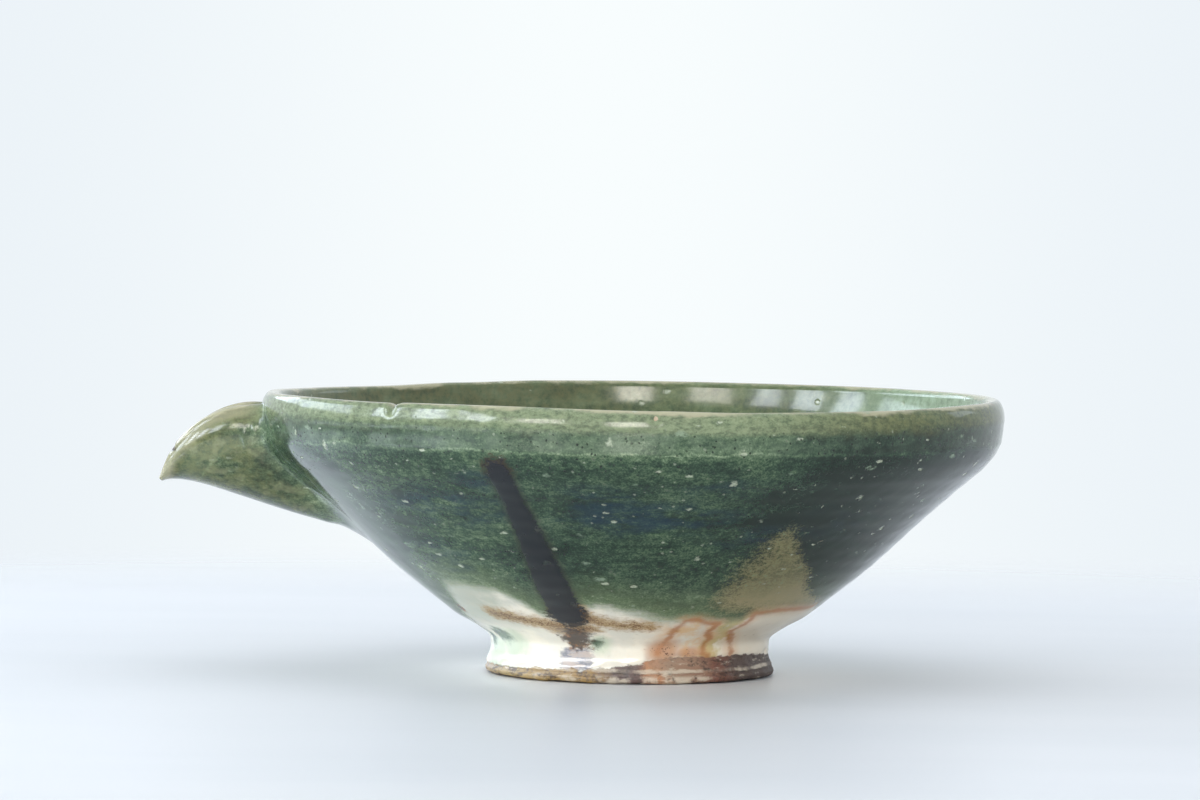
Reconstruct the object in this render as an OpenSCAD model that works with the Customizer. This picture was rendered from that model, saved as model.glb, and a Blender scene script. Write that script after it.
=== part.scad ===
// Katakuchi sake pourer: a low conical stoneware bowl on a turned foot ring, with a beaked trough
// spout luted to its wall below an unbroken rim. Green glaze covers the bowl and the spout, cream
// glaze the lower wall and the neck of the foot, and one iron brush stroke runs down the front.
// Millimetres, +Z up. The origin is where the bowl's axis meets the table. The spout points along -X.

/* [Bowl] */
// Diameter over the glazed lip
bowl_d = 149; // [138:1:160]
// Height from the table to the top of the glazed lip
bowl_h = 56; // [50:0.5:62]
// Radius of the bend from the conical wall up to the lip
shoulder_r = 14.5; // [10:0.5:18]
// Clay thickness of the conical wall
wall_t = 4.2; // [3.4:0.2:5]
// Clay thickness of the rounded lip
lip_t = 3.2; // [2.6:0.2:4]
// Height of the upright band under the rounded lip
lip_band_h = 1.4; // [0.6:0.2:3]
// Clay thickness of the floor over the foot
floor_t = 5; // [4:0.5:7]
// Radius of the bend from the floor to the inner wall
well_r = 14; // [8:1:18]

/* [Foot] */
// Diameter of the foot ring at its widest, just above the table
foot_d = 58.2; // [55.6:0.2:62]
// Height of the foot ring up to its joint with the bowl
foot_h = 7; // [5.5:0.5:9]
// Diameter of the neck where the ring meets the bowl
neck_d = 54.2; // [52:0.2:55.4]
// Radius of the hollow turned between the neck and the bowl
neck_r = 3.5; // [2.5:0.25:4.5]
// Width of the step from the neck out to the start of the conical wall
ledge_w = 5.5; // [4.8:0.1:7]
// Width of the ring's flat face on the table
foot_face_w = 5; // [3.5:0.5:7]
// Size of the worn edge round the bottom of the ring
foot_edge = 1; // [0.5:0.1:1.4]
// How far the ring's inner face leans in towards its top
foot_lean = 1; // [0:0.25:2]

/* [Spout] */
// How far the spout's clay tip stands out past the bowl's clay lip
spout_reach = 21; // [16:0.5:26]
// Drop from the glazed lip of the bowl to the spout's tip
tip_drop = 18.5; // [16:0.5:21]
// Drop from the glazed lip of the bowl to the spout's upper edge at the wall
crest_drop = 4.2; // [3.6:0.2:5.4]
// Drop from the glazed lip of the bowl to the root of the spout's keel
root_drop = 30; // [28:0.5:33]
// Width of the spout where it leaves the wall
spout_w = 29; // [26:0.5:32]
// Extra half width of the thumbed flare where the spout joins the wall
root_flare = 4; // [2:0.5:5]
// Half width of the pouring tip
tip_w = 2.2; // [1.8:0.2:3]
// Clay thickness of the spout
spout_t = 3.4; // [2.6:0.2:4]
// Angle that each side wall turns through, past upright, as it curls in
side_curl = 112; // [100:1:120]
// Diameter of the pouring hole through the wall
hole_d = 14; // [11:0.5:15]
// Drop from the glazed lip of the bowl to the top of the pouring hole
hole_drop = 5.5; // [5:0.25:7]

/* [Glaze] */
// Thickness of the glaze coats
glaze_t = 0.5; // [0.3:0.05:0.8]
// Height of the line on the wall where green glaze meets cream
green_z = 15; // [13.5:0.5:19]
// Height of the lower edge of the cream glaze on the foot
cream_z = 3.4; // [2.8:0.2:5]

/* [Iron stroke] */
// Thickness of the iron pigment
stroke_t = 0.15; // [0.1:0.05:0.3]
// Width of the stroke at its top
stroke_top_w = 5.2; // [3:0.2:7]
// Width of the stroke at its bottom
stroke_low_w = 8; // [4:0.2:9]
// Height of the centre of the stroke's round top end
stroke_top_z = 43; // [36:0.5:45]
// Height of the centre of the stroke's round bottom end
stroke_low_z = 16; // [15.5:0.5:20]
// Turn of the stroke round the bowl, from the front towards the spout
stroke_turn = 20.5; // [0:0.5:30]
// Sideways run of the stroke on its way down, away from the spout
stroke_run = 1; // [-10:0.5:10]

/* [Hidden] */
$fn = 96;

arc_steps = 10;
flare_steps = 6;

clay_r = bowl_d / 2 - glaze_t;
lip_centre = [clay_r - lip_t / 2, bowl_h - glaze_t - lip_t / 2];
shoulder_centre = [clay_r - shoulder_r, lip_centre.y - lip_band_h];
neck_clay_r = neck_d / 2;
foot_r = foot_d / 2;
ledge = [neck_clay_r + ledge_w, foot_h + neck_r];

// The conical wall runs from the ledge to the bend, as the tangent from a point to a circle
to_shoulder = shoulder_centre - ledge;
wall_slope = atan2(to_shoulder.y, to_shoulder.x) - asin(shoulder_r / norm(to_shoulder));
wall_out = [sin(wall_slope), -cos(wall_slope)];
wall_up = [cos(wall_slope), sin(wall_slope)];

// Inner face: parallel to the cone at wall_t, thinning to lip_t at the lip
inner_bend_r = shoulder_r - lip_t;
inner_bend_centre = shoulder_centre + [0, (wall_t - lip_t) / cos(wall_slope)];
inner_wall_top = inner_bend_centre + inner_bend_r * wall_out;
floor_z = foot_h + floor_t;
well_z = floor_z + well_r;
well_edge_r = inner_wall_top.x - (inner_wall_top.y - well_z) / tan(wall_slope);
well_centre = [well_edge_r - well_r / sin(wall_slope), well_z];

// Points along an arc, from angle a to angle b
function arc(centre, r, a, b) =
    [for (i = [0:arc_steps]) let (turn = a + (b - a) * i / arc_steps) centre + r * [cos(turn), sin(turn)]];
function reversed(points) = [for (i = [len(points) - 1:-1:0]) points[i]];
function closed_band(outer, inner) = concat(outer, reversed(inner));

// A point on the conical wall at a height on the clay, moved out by a coat
function wall_point(z, coat) = ledge + wall_up * (z - ledge.y) / sin(wall_slope) + coat * wall_out;
// The hollow under the wall, from the foot's joint out to the start of the cone
function neck_side(coat) = concat(
    arc([neck_clay_r + neck_r, foot_h], neck_r - coat, 180, 90),
    [ledge + coat * [tan(wall_slope / 2), -1]]);
// The bend and the outer half of the lip
function shoulder_side(coat) = arc(shoulder_centre, shoulder_r + coat, wall_slope - 90, 0);
function lip_outside(coat) = arc(lip_centre, lip_t / 2 + coat, 0, 90);
// The inner half of the lip, then down the inner wall to the middle of the floor
function inner_side(coat) = concat(
    arc(lip_centre, lip_t / 2 + coat, 90, 180),
    arc(inner_bend_centre, inner_bend_r - coat, 0, wall_slope - 90),
    arc(well_centre, well_r - coat, wall_slope - 90, -90),
    [[0, floor_z + coat]]);

// The foot ring flares from the neck down to the table
flare_z = 1.6 * foot_edge;
function flare_r(z) = neck_clay_r + (foot_r - neck_clay_r) * pow((foot_h - z) / (foot_h - flare_z), 2);
function foot_side(low, coat) =
    [for (i = [0:flare_steps]) let (z = low + (foot_h - low) * i / flare_steps) [flare_r(z) + coat, z]];

// The spout's side view, as curves in (distance out, height): its keel below and its edge above
spout_tip = [clay_r + spout_reach, bowl_h - tip_drop];
crest_start = [clay_r - lip_t, bowl_h - crest_drop];
keel_start = wall_point(bowl_h - root_drop, -0.2 * wall_t);
// The curves' two inner handles, as shares of the spout's reach
crest_leave = [0.62, 0.105];
crest_arrive = [-0.162, 0.405];
keel_leave = [0.786, 0.238];
keel_arrive = [-0.381, 0.133];
crest = [crest_start, crest_start + spout_reach * crest_leave,
         spout_tip + spout_reach * crest_arrive, spout_tip];
keel = [keel_start, keel_start + spout_reach * keel_leave,
        spout_tip + spout_reach * keel_arrive, spout_tip];
spout_end = 0.97;
spout_stations = 15;
spout_sides = 8;
lip_share = 0.55;
lip_crown = 0.3;
flare_end = 0.3;
joint_gap = 0.02;

function bezier(p, t) =
    pow(1 - t, 3) * p[0] + 3 * pow(1 - t, 2) * t * p[1] + 3 * (1 - t) * t * t * p[2] + pow(t, 3) * p[3];
// Half width of the spout: full at the wall, flared at its root, drawn in to the tip
function spout_half(t) =
    tip_w + (spout_w / 2 - tip_w) * pow(1 - pow(t, 1.8), 0.8) + root_flare * pow(max(0, 1 - t / flare_end), 2);
// How far up its side a point of the section lies, at angle a from the keel
function lift(a) = (1 - cos(a)) / (1 - cos(side_curl));

// Radius of the bowl's outer face at a height, under a coat
function outside_r(z, coat) = let (
        bend_r = shoulder_r + coat,
        up = z - shoulder_centre.y)
    up > 0 ? shoulder_centre.x + bend_r
    : up > -bend_r * cos(wall_slope) ? shoulder_centre.x + sqrt(bend_r * bend_r - up * up)
    : ledge.x + (z - ledge.y) / tan(wall_slope) + coat / sin(wall_slope);

// Lines run along the spout from root to tip. They are numbered round its U-shaped section:
// the outside from edge to edge, a crown on that edge, the inside back again, a crown on the other
side_n = 2 * spout_sides + 1;
line_n = 2 * side_n + 2;
function line_turn(i) =
    i < side_n ? side_curl * (i - spout_sides) / spout_sides
    : i == side_n ? side_curl
    : i < line_n - 1 ? side_curl * (side_n + 1 + spout_sides - i) / spout_sides
    : -side_curl;
// The point on line i at t from root to tip, with a coat on the clay
function spout_point(i, t, coat) = let (
        low = bezier(keel, t),
        depth = norm(bezier(crest, t) - low),
        up = (bezier(crest, t) - low) / depth,
        wall = min(spout_t, lip_share * depth),
        half = spout_half(t),
        turn = line_turn(i),
        crown = i == side_n || i == line_n - 1,
        across = crown ? half - wall / 2 : i < side_n ? half + coat : half - wall - coat,
        along = crown ? depth + coat + lip_crown * wall
            : i < side_n ? (depth + 2 * coat) * lift(turn) - coat
            : (depth - wall) * lift(turn) + wall + coat,
        side = low + up * along)
    [-side.x, across * sin(turn), side.y];
// Where line i comes out of the bowl's wall, found by halving
function root_t(i, coat, skin, inside = 0, outside = 0.7, tries = 16) = let (
        mid = (inside + outside) / 2,
        p = spout_point(i, mid, coat),
        out = norm([p.x, p.y]) > outside_r(p.z, skin))
    tries == 0 ? mid
    : root_t(i, coat, skin, out ? inside : mid, out ? mid : outside, tries - 1);
function line_starts(coat, skin) = [for (i = [0:line_n - 1]) root_t(i, coat, skin)];
function line_ring(starts, share, coat) =
    [for (i = [0:line_n - 1]) spout_point(i, starts[i] + (spout_end - starts[i]) * share, coat)];
function line_rings(starts, coat) = [for (s = [0:spout_stations]) line_ring(starts, s / spout_stations, coat)];

// The clay's rings from deep in the wall to the tip, and the coat's rings
deep_ring = line_ring([for (i = [0:line_n - 1]) 0], 0, 0);
joint_ring = line_ring(line_starts(0, joint_gap), 0, 0);
clay_rings = line_rings(line_starts(0, glaze_t + joint_gap), 0);
tip_way = spout_tip - keel[2];
past_tip = glaze_t * [-tip_way.x, 0, tip_way.y] / norm(tip_way);
open_coat_rings = line_rings(line_starts(glaze_t, glaze_t + joint_gap), glaze_t);
coat_rings = concat(open_coat_rings, [[for (p = open_coat_rings[spout_stations]) p + past_tip]]);

function all_points(rings) = [for (r = rings) each r];
function turned_over(faces) = [for (f = faces) reversed(f)];
// The skin along a run of rings, its points numbered from first
function side_faces(ring_count, first) =
    [for (r = [0:ring_count - 2], i = [0:line_n - 1])
        let (a = first + r * line_n + i, b = first + r * line_n + (i + 1) % line_n)
        each [[a, b, a + line_n], [b, b + line_n, a + line_n]]];
// The skin across one ring, between the lines of the outside and those of the inside
function end_faces(first) = let (far = line_n - 2) [
    for (i = [0:side_n - 2]) each [
        [first + i, first + i + 1, first + far - i],
        [first + i + 1, first + far - i - 1, first + far - i]],
    [first + side_n - 1, first + side_n, first + side_n + 1],
    [first + far, first + far + 1, first]];

// The clay of the trough as one closed skin over its rings
module trough(rings) {
    polyhedron(all_points(rings), concat(
        side_faces(len(rings), 0),
        turned_over(end_faces(0)),
        end_faces((len(rings) - 1) * line_n)));
}

// The coat over the trough as one closed skin, hollow where the clay is and open at its root
module trough_coat() {
    first = len(coat_rings) * line_n;
    root_band = [for (i = [0:line_n - 1])
        let (j = (i + 1) % line_n)
        each [[i, first + i, j], [j, first + i, first + j]]];
    polyhedron(all_points(concat(coat_rings, clay_rings)), concat(
        side_faces(len(coat_rings), 0),
        end_faces((len(coat_rings) - 1) * line_n),
        turned_over(side_faces(len(clay_rings), first)),
        turned_over(end_faces(first + (len(clay_rings) - 1) * line_n)),
        root_band));
}

// The pouring hole, level, through the wall at the spout
module pour_hole() {
    translate([0, 0, bowl_h - hole_drop - hole_d / 2])
        rotate([0, -90, 0])
            cylinder(d = hole_d, h = bowl_d);
}

module bowl() {
    color("#b49a78")
        difference() {
            rotate_extrude()
                polygon(concat([[0, foot_h]], neck_side(0), shoulder_side(0), lip_outside(0), inner_side(0)));
            pour_hole();
        }
}

module foot_ring() {
    inner_r = foot_r - foot_edge - foot_face_w;
    color("#6e4a38")
        rotate_extrude()
            polygon(concat(
                [[inner_r, 0], [foot_r - foot_edge, 0], [foot_r, foot_edge]],
                foot_side(flare_z, 0),
                [[inner_r - foot_lean, foot_h]]));
}

module spout() {
    color("#b49a78")
        trough(concat([joint_ring], clay_rings));
}

module outer_glaze() {
    color("#3d5e44")
        difference() {
            rotate_extrude()
                polygon(closed_band(
                    concat([wall_point(green_z, glaze_t)], shoulder_side(glaze_t), lip_outside(glaze_t)),
                    concat([wall_point(green_z, 0)], shoulder_side(0), lip_outside(0))));
            trough(concat([deep_ring, joint_ring], clay_rings));
            pour_hole();
        }
}

module inner_glaze() {
    color("#4f7350")
        difference() {
            rotate_extrude()
                polygon(closed_band(inner_side(glaze_t), inner_side(0)));
            pour_hole();
        }
}

module spout_glaze() {
    color("#66754a")
        trough_coat();
}

module foot_glaze() {
    color("#d9c8a2")
        rotate_extrude()
            polygon(closed_band(
                concat(foot_side(cream_z, glaze_t), neck_side(glaze_t), [wall_point(green_z, glaze_t)]),
                concat(foot_side(cream_z, 0), neck_side(0), [wall_point(green_z, 0)])));
}

// The stroke's outline as seen from the front: a widening bar with round ends
module stroke_outline() {
    top = [-stroke_run / 2, stroke_top_z];
    low = [stroke_run / 2, stroke_low_z];
    way = atan2(low.y - top.y, low.x - top.x);
    polygon(concat(
        arc(top, stroke_top_w / 2, way + 90, way + 270),
        arc(low, stroke_low_w / 2, way - 90, way + 90)));
}

module iron_stroke() {
    outer = glaze_t + stroke_t;
    color("#2c2620")
        intersection() {
            rotate_extrude()
                polygon(closed_band(
                    concat([ledge + outer * [tan(wall_slope / 2), -1]], shoulder_side(outer)),
                    concat([ledge + glaze_t * [tan(wall_slope / 2), -1]], shoulder_side(glaze_t))));
            rotate([0, 0, -stroke_turn])
                rotate([90, 0, 0])
                    linear_extrude(bowl_d)
                        stroke_outline();
        }
}

bowl();
foot_ring();
spout();
outer_glaze();
inner_glaze();
spout_glaze();
foot_glaze();
iron_stroke();
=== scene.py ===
"""Looks of a katakuchi sake pourer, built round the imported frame.

The scene is in metres and the sizes below are in millimetres, in the frame's axes: +Z up, the spout along
-X and the photographed side towards -Y. A place on the bowl is written (turn, height): degrees round the
axis from the front towards +X, and millimetres above the table.
"""
import math

import bpy
import numpy as np
from mathutils import Matrix, Vector


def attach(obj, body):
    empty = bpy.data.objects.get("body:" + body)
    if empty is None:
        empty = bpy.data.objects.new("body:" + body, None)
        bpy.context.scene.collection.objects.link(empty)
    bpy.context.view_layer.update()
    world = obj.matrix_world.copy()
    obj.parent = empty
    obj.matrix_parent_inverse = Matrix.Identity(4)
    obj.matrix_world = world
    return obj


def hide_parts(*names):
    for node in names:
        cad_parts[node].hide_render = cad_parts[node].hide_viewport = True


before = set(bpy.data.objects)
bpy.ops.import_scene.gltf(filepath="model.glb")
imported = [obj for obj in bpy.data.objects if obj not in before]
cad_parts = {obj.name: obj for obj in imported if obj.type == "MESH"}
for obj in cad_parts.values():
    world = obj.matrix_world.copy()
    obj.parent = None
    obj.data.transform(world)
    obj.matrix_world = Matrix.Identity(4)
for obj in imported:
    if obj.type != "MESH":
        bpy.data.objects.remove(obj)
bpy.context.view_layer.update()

MM = 0.001

# Sizes of the clay, as in the part's source
GLAZE = 0.5
CLAY_R = 74.0
RIM_Z = 56.0
SHOULDER_R = 14.5
WALL = 4.2
LIP = 3.2
LIP_BAND = 1.4
FLOOR = 5.0
WELL_R = 14.0
FOOT_R = 29.1
FOOT_H = 7.0
NECK_R = 27.1
NECK_BEND = 3.5
LEDGE_W = 5.5
FOOT_FACE = 5.0
FOOT_EDGE = 1.0
FOOT_LEAN = 1.0
FLARE_Z = 1.6
COAT_LOW_Z = 2.4
GREEN_Z = 15.0
HOLE_R = 7.0
HOLE_Z = 43.5

# Fineness of the meshes
COLUMNS = 720
ROW_STEP = 0.45
INNER_ROW_STEP = 0.7
FOOT_ROW_STEP = 0.35

# The fired skin: its mean height over the clay, the most that it swells or sinks, and its gap to the clay
SKIN = 0.3
SWELL = 0.19
UNDER = 0.03

# Thrown shape of the lip and the neck: leans in degrees, and heights
INNER_LEAN = 8.5
INNER_LIFT = 1.0
LIP_LEAN = 8
NECK_END_Z = 13

# Corners and centres of the side outline, worked out from the sizes
LIP_CENTRE = np.array([CLAY_R - LIP / 2, RIM_Z - GLAZE - LIP / 2])
SHOULDER = np.array([CLAY_R - SHOULDER_R, LIP_CENTRE[1] - LIP_BAND])
LEDGE = np.array([NECK_R + LEDGE_W, FOOT_H + NECK_BEND])
TO_SHOULDER = SHOULDER - LEDGE
SLOPE = math.atan2(TO_SHOULDER[1], TO_SHOULDER[0]) - math.asin(SHOULDER_R / math.hypot(*TO_SHOULDER))
SLOPE_DEG = math.degrees(SLOPE)
WALL_OUT = np.array([math.sin(SLOPE), -math.cos(SLOPE)])
WALL_UP = np.array([math.cos(SLOPE), math.sin(SLOPE)])
INNER_BEND_R = SHOULDER_R - LIP
INNER_BEND = SHOULDER + np.array([0, (WALL - LIP) / math.cos(SLOPE)])
FLOOR_Z = FOOT_H + FLOOR
WELL_Z = FLOOR_Z + WELL_R
INNER_TOP = INNER_BEND + INNER_BEND_R * WALL_OUT
WELL_EDGE_R = INNER_TOP[0] - (INNER_TOP[1] - WELL_Z) / math.tan(SLOPE)
WELL = np.array([WELL_EDGE_R - WELL_R / math.sin(SLOPE), WELL_Z])


# Helpers for numbers and points
def smooth(low, high, x):
    t = np.clip((x - low) / (high - low), 0, 1)
    return t * t * (3 - 2 * t)


def spot(*parts):
    """1 in the middle of a soft spot, given how many half sizes off a point lies in each way."""
    return np.exp(-sum(part ** 2 for part in parts))


def hump(x, centre, width):
    return spot((x - centre) / width)


def wrapped(turn, centre):
    """Turn measured from a centre, from -180 to 180."""
    return (turn - centre + 180) % 360 - 180


def knots(pairs, x):
    at, value = np.array(pairs, float).T
    return np.interp(x, at, value)


def eased(pairs, x):
    """Like knots, but levelling out at each knot."""
    at, value = np.array(pairs, float).T
    i = np.clip(np.searchsorted(at, x, "right") - 1, 0, len(at) - 2)
    return value[i] + (value[i + 1] - value[i]) * smooth(at[i], at[i + 1], x)


def unit(v):
    return v / np.maximum(np.linalg.norm(v, axis=-1, keepdims=True), 1e-9)


def listed(*grids):
    """The points of some grids in one list."""
    return np.concatenate([grid.reshape(-1, 3) for grid in grids])


def lattice(cell, seed):
    """A fixed random value from -1 to 1 for each cell of a grid."""
    h = (cell @ np.array([374761393, 668265263, 1440662683]) + seed * 974634777) & 0xFFFFFFFF
    h = ((h ^ (h >> 13)) * 1274126177) & 0xFFFFFFFF
    return ((h ^ (h >> 16)) & 0xFFFF) / 32767.5 - 1


def noise(points, size, seed, squash=1):
    """Smooth noise from -1 to 1 over points, with features of about the given size, squashed in height."""
    p = points * np.array([1, 1, squash]) / size
    base = np.floor(p).astype(np.int64)
    f = p - base
    f = f * f * (3 - 2 * f)
    total = 0
    for corner in np.ndindex(2, 2, 2):
        total = total + lattice(base + corner, seed) * np.abs(1 - np.array(corner) - f).prod(-1)
    return total


# Side outlines, as (radius, height)
def arc(centre, radius, start, end, steps=48):
    angle = np.radians(np.linspace(start, end, steps + 1))
    return centre + radius * np.stack([np.cos(angle), np.sin(angle)], 1)


def flare_r(z):
    return NECK_R + (FOOT_R - NECK_R) * ((FOOT_H - z) / (FOOT_H - FLARE_Z)) ** 2


def foot_side(coat):
    z = np.linspace(FLARE_Z, FOOT_H, 24)
    return np.stack([flare_r(z) + coat, z], 1)


def neck_side(coat):
    """The soft bend from the foot ring out to the wall."""
    start, end = np.array([NECK_R + coat, FOOT_H]), wall_point(NECK_END_Z, coat)
    return bezier((start, start + np.array([0, 1.8]), end - 3.2 * WALL_UP, end), np.linspace(0, 1, 40))


def shoulder_side(coat):
    return arc(SHOULDER, SHOULDER_R + coat, SLOPE_DEG - 90, -LIP_LEAN)


def lip_face(coat):
    """The outer face of the lip, which rounds over slowly from the shoulder to its top."""
    lean = math.radians(LIP_LEAN)
    start = shoulder_side(coat)[-1]
    top = LIP_CENTRE + np.array([0, LIP / 2 + coat])
    handles = start + 3.0 * np.array([math.sin(lean), math.cos(lean)]), top + np.array([1.25, 0])
    return bezier((start, *handles, top), np.linspace(0, 1, 40))


def bezier(p, t):
    t = np.asarray(t)[..., None]
    return (1 - t) ** 3 * p[0] + 3 * (1 - t) ** 2 * t * p[1] + 3 * (1 - t) * t * t * p[2] + t ** 3 * p[3]


def inner_side(coat):
    """Over the lip, down a nearly upright wall that bends inwards, and round the well to the middle."""
    lean = math.radians(INNER_LEAN)
    down = np.array([-math.sin(lean), -math.cos(lean)])
    half = LIP / 2 + coat
    top = LIP_CENTRE + np.array([0, half])
    turned_in = LIP_CENTRE + half * np.array([-math.cos(lean), math.sin(lean)]) + np.array([0, INNER_LIFT])
    lip = bezier((top, top - np.array([1.1, 0]), turned_in - 0.4 * down, turned_in), np.linspace(0, 1, 30))
    foot = INNER_BEND + (INNER_BEND_R - coat) * WALL_OUT
    bend = bezier((lip[-1], lip[-1] + 5.0 * down, foot + 3.0 * WALL_UP, foot), np.linspace(0, 1, 40))
    return np.vstack([lip, bend, arc(WELL, WELL_R - coat, SLOPE_DEG - 90, -90), [[0.6, FLOOR_Z + coat]]])


def wall_point(z, coat):
    return LEDGE + WALL_UP * (z - LEDGE[1]) / math.sin(SLOPE) + coat * WALL_OUT


def even(points, step):
    """The same outline with evenly spaced points."""
    gaps = np.hypot(*np.diff(points, axis=0).T)
    keep = np.concatenate([[True], gaps > 1e-6])
    points = points[keep]
    along = np.concatenate([[0], np.cumsum(np.hypot(*np.diff(points, axis=0).T))])
    count = max(2, int(round(along[-1] / step)) + 1)
    at = np.linspace(0, along[-1], count)
    return np.stack([np.interp(at, along, points[:, 0]), np.interp(at, along, points[:, 1])], 1)


def side_normals(outline):
    way = np.gradient(outline, axis=0)
    return unit(np.stack([way[:, 1], -way[:, 0]], 1))


# Where the thrown wall stands out beyond the source's straight lines: how far, at what height, how tall
FULLNESS = ((1.25, 21.5, 8.5), (0.5, 8, 3), (0.4, 46, 3.5))
SIDE_STEP = 0.2


def thrown(outline):
    """An outline with its wall thrown full."""
    side = even(outline, SIDE_STEP)
    side[:, 0] += sum(out * hump(side[:, 1], height, tall) for out, height, tall in FULLNESS)
    return side


OUTER_SIDE = thrown(np.vstack([foot_side(SKIN), neck_side(SKIN), shoulder_side(SKIN), lip_face(SKIN)]))
CLAY_SIDE = OUTER_SIDE - SKIN * side_normals(OUTER_SIDE)


def radius_at(z, side):
    """Radius at a height of an outline that runs upwards."""
    return np.interp(z, side[:, 1] + 1e-6 * np.arange(len(side)), side[:, 0])


def outer_r(z):
    """Radius of the glazed outside at a height."""
    return radius_at(z, OUTER_SIDE)


def on_bowl(turn, z):
    """The point on the glazed outside at a place."""
    a = np.radians(turn)
    r = outer_r(z)
    return np.stack([r * np.sin(a), -r * np.cos(a), np.asarray(z, float) + 0 * a], -1)


# The thrown form: how far hand work moves every layer from a true round
RIM_LIFT = ((-180, 0.1), (-165, 0.08), (-150, -0.35), (-135, -0.8), (-115, -0.6), (-90, -0.1), (-60, 0.08),
            (-42, -0.02), (-35, 0.12), (-22, 0.12), (4, -0.28), (16, -0.55), (40, -0.4), (70, 0), (110, 0.1),
            (180, 0.1))
FOLD_TURN = -39.0
FOLD_DEEP = 0.8
FOLD_HALF = 0.8


def form_lift(turn, z):
    """Lift of the wall: the rim rises and falls a little round the bowl, and has one small fold."""
    rim = smooth(30, RIM_Z, z)
    near_rim = smooth(52, RIM_Z, z)
    fold = -FOLD_DEEP * hump(wrapped(turn, FOLD_TURN), 0, FOLD_HALF)
    slow = 0.02 * np.sin(np.radians(9 * turn - 70))
    return rim * (eased(RIM_LIFT, wrapped(turn, 0)) + slow) + near_rim * fold


# Relief of the fired skin
BAND_Z = 51.4
LINE_Z = 47.4
LIP_FACET = ((-72, 0), (-56, 0.16), (-41, 0.26), (-27, 0.33), (-18, 0))
NICKS = ((3.1, 54.6, 0.7, 0.8, 0.55), (FOLD_TURN, 55.0, 0.6, 1.2, 0.35))
SPOUT_TURN = -90
SPOUT_NICK = np.array([-91.5, -5.0, 44.0])
SPOUT_NICK_HALF = np.array([0.5, 2.0, 1.2])
SPOUT_NICK_DEEP = 0.8
LUMP_HALF = 0.55
ROOT_LUMPS = ((-76.8, 46.6, 1.7, 0.4), (-74.9, 47.6, 2.4, 0.4), (-76.2, 44.4, 0.9, 0.3))


def throwing(z, points):
    """Rings left by the fingers, drifting a little as they go round."""
    drift = 0.5 * noise(points, 30, 11, 0.3)
    return 0.45 * np.sin((z + drift) * 2.3) + 0.35 * np.sin((z + 1.4 * drift) * 0.95 + 1)


def outer_relief(turn, z, points):
    broad = 0.5 * noise(points, 26, 1) + 0.3 * noise(points, 9, 2)
    fine = 0.14 * noise(points, 2.6, 3, 1.8)
    wobble = 0.5 * noise(points, 12, 4, 0.2)
    band = 0.8 * smooth(BAND_Z - 0.5, BAND_Z + 0.3, z + 0.5 * wobble) - 0.4
    line = 0.6 * hump(z + wobble, LINE_Z, 0.45)
    high = smooth(43, 50, z)
    rings = (1 - 0.6 * high) * 0.22 * throwing(z, points)
    swell = 0.45 * broad + fine + rings + high * (0.7 * band + line)
    near_spout = np.hypot(wrapped(turn, SPOUT_TURN) / 30, (z - 38) / 24)
    return SWELL * np.clip(swell, -1.2, 1) * smooth(0.75, 1.2, near_spout) * below_top(z)


def below_top(z):
    """0 on the very top of the lip and 1 a little below it."""
    return smooth(RIM_Z - 0.1, RIM_Z - 1.2, z)


def nicks(turn, z):
    """Small dents in the lip, one of them under the fold."""
    total = 0
    for at, height, wide, high, deep in NICKS:
        across = np.radians(wrapped(turn, at)) * CLAY_R
        total = total - deep * spot(across / wide, (z - height) / high)
    return total


def lip_facet(turn, z, points):
    """On the left of the front the lip stays nearly flat up to its edge."""
    uneven = 1 + 0.25 * noise(points, 6, 7, 0.3)
    rise = np.clip((z - RIM_Z + 2.3) / 1.5, 0, 1) ** 2
    return knots(LIP_FACET, turn) * uneven * rise * smooth(RIM_Z - 0.1, RIM_Z - 0.6, z)


def inner_relief(turn, z, points):
    """Finger rings up the wall and a spiral on the floor."""
    broad = 0.5 * noise(points, 22, 21) + 0.3 * noise(points, 8, 22)
    drift = 0.6 * noise(points, 20, 23)
    rings = 0.8 * np.sin((z + drift) * 1.6) * smooth(RIM_Z - 5, RIM_Z - 15, z)
    r = np.hypot(points[..., 0], points[..., 1])
    spiral = 1.6 * np.sin((r + drift) * 1.1 - np.radians(turn)) * smooth(0, 6, r)
    on_floor = smooth(WELL_Z - 6, FLOOR_Z + 1, z)
    swell = 0.5 * broad + 0.4 * (rings * (1 - on_floor) + spiral * on_floor)
    return SWELL * np.clip(swell, -1, 1) * below_top(z)


def foot_relief(z, points):
    """Gritty turned clay with one groove round it and worn hollows at its lower edge."""
    grit = 0.6 * noise(points, 1.6, 31) + 0.8 * noise(points, 4, 32, 2.5)
    groove = -1.2 * hump(z, 1.9 + 0.3 * noise(points, 14, 33), 0.35)
    worn = -1.6 * smooth(0.25, 0.8, noise(points, 7, 34)) * hump(z, 0.4, 0.7)
    return np.clip(0.16 * (grit + groove + worn) - 0.2, -0.6, 0)


def coat_relief(turn, z, points):
    """The cream coat on the foot, thinning out at its ragged lower edge."""
    ragged = knots(BARE_EDGE, turn) - z + 0.5 * noise(points, 3.5, 41) + 0.3 * noise(points, 1.3, 42)
    thick = 1 - smooth(-0.7, 0.25, ragged)
    grit = 0.1 * noise(points, 1.6, 31) + 0.12 * noise(points, 4, 32, 2.5)
    return thick * outer_relief(turn, z, points) + (1 - thick) * (grit - SKIN - 0.1)


def base_relief(turn, z, points):
    """Turning marks under the floor inside the foot ring."""
    r = np.hypot(points[..., 0], points[..., 1])
    under = (z < FOOT_H + 0.01) & (r < HOLLOW_R)
    spiral = np.sin(r * 2.1 + np.radians(turn)) + 0.6 * noise(points, 2.2, 51)
    return np.where(under, 0.14 * (spiral - 1.6), 0)


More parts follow.
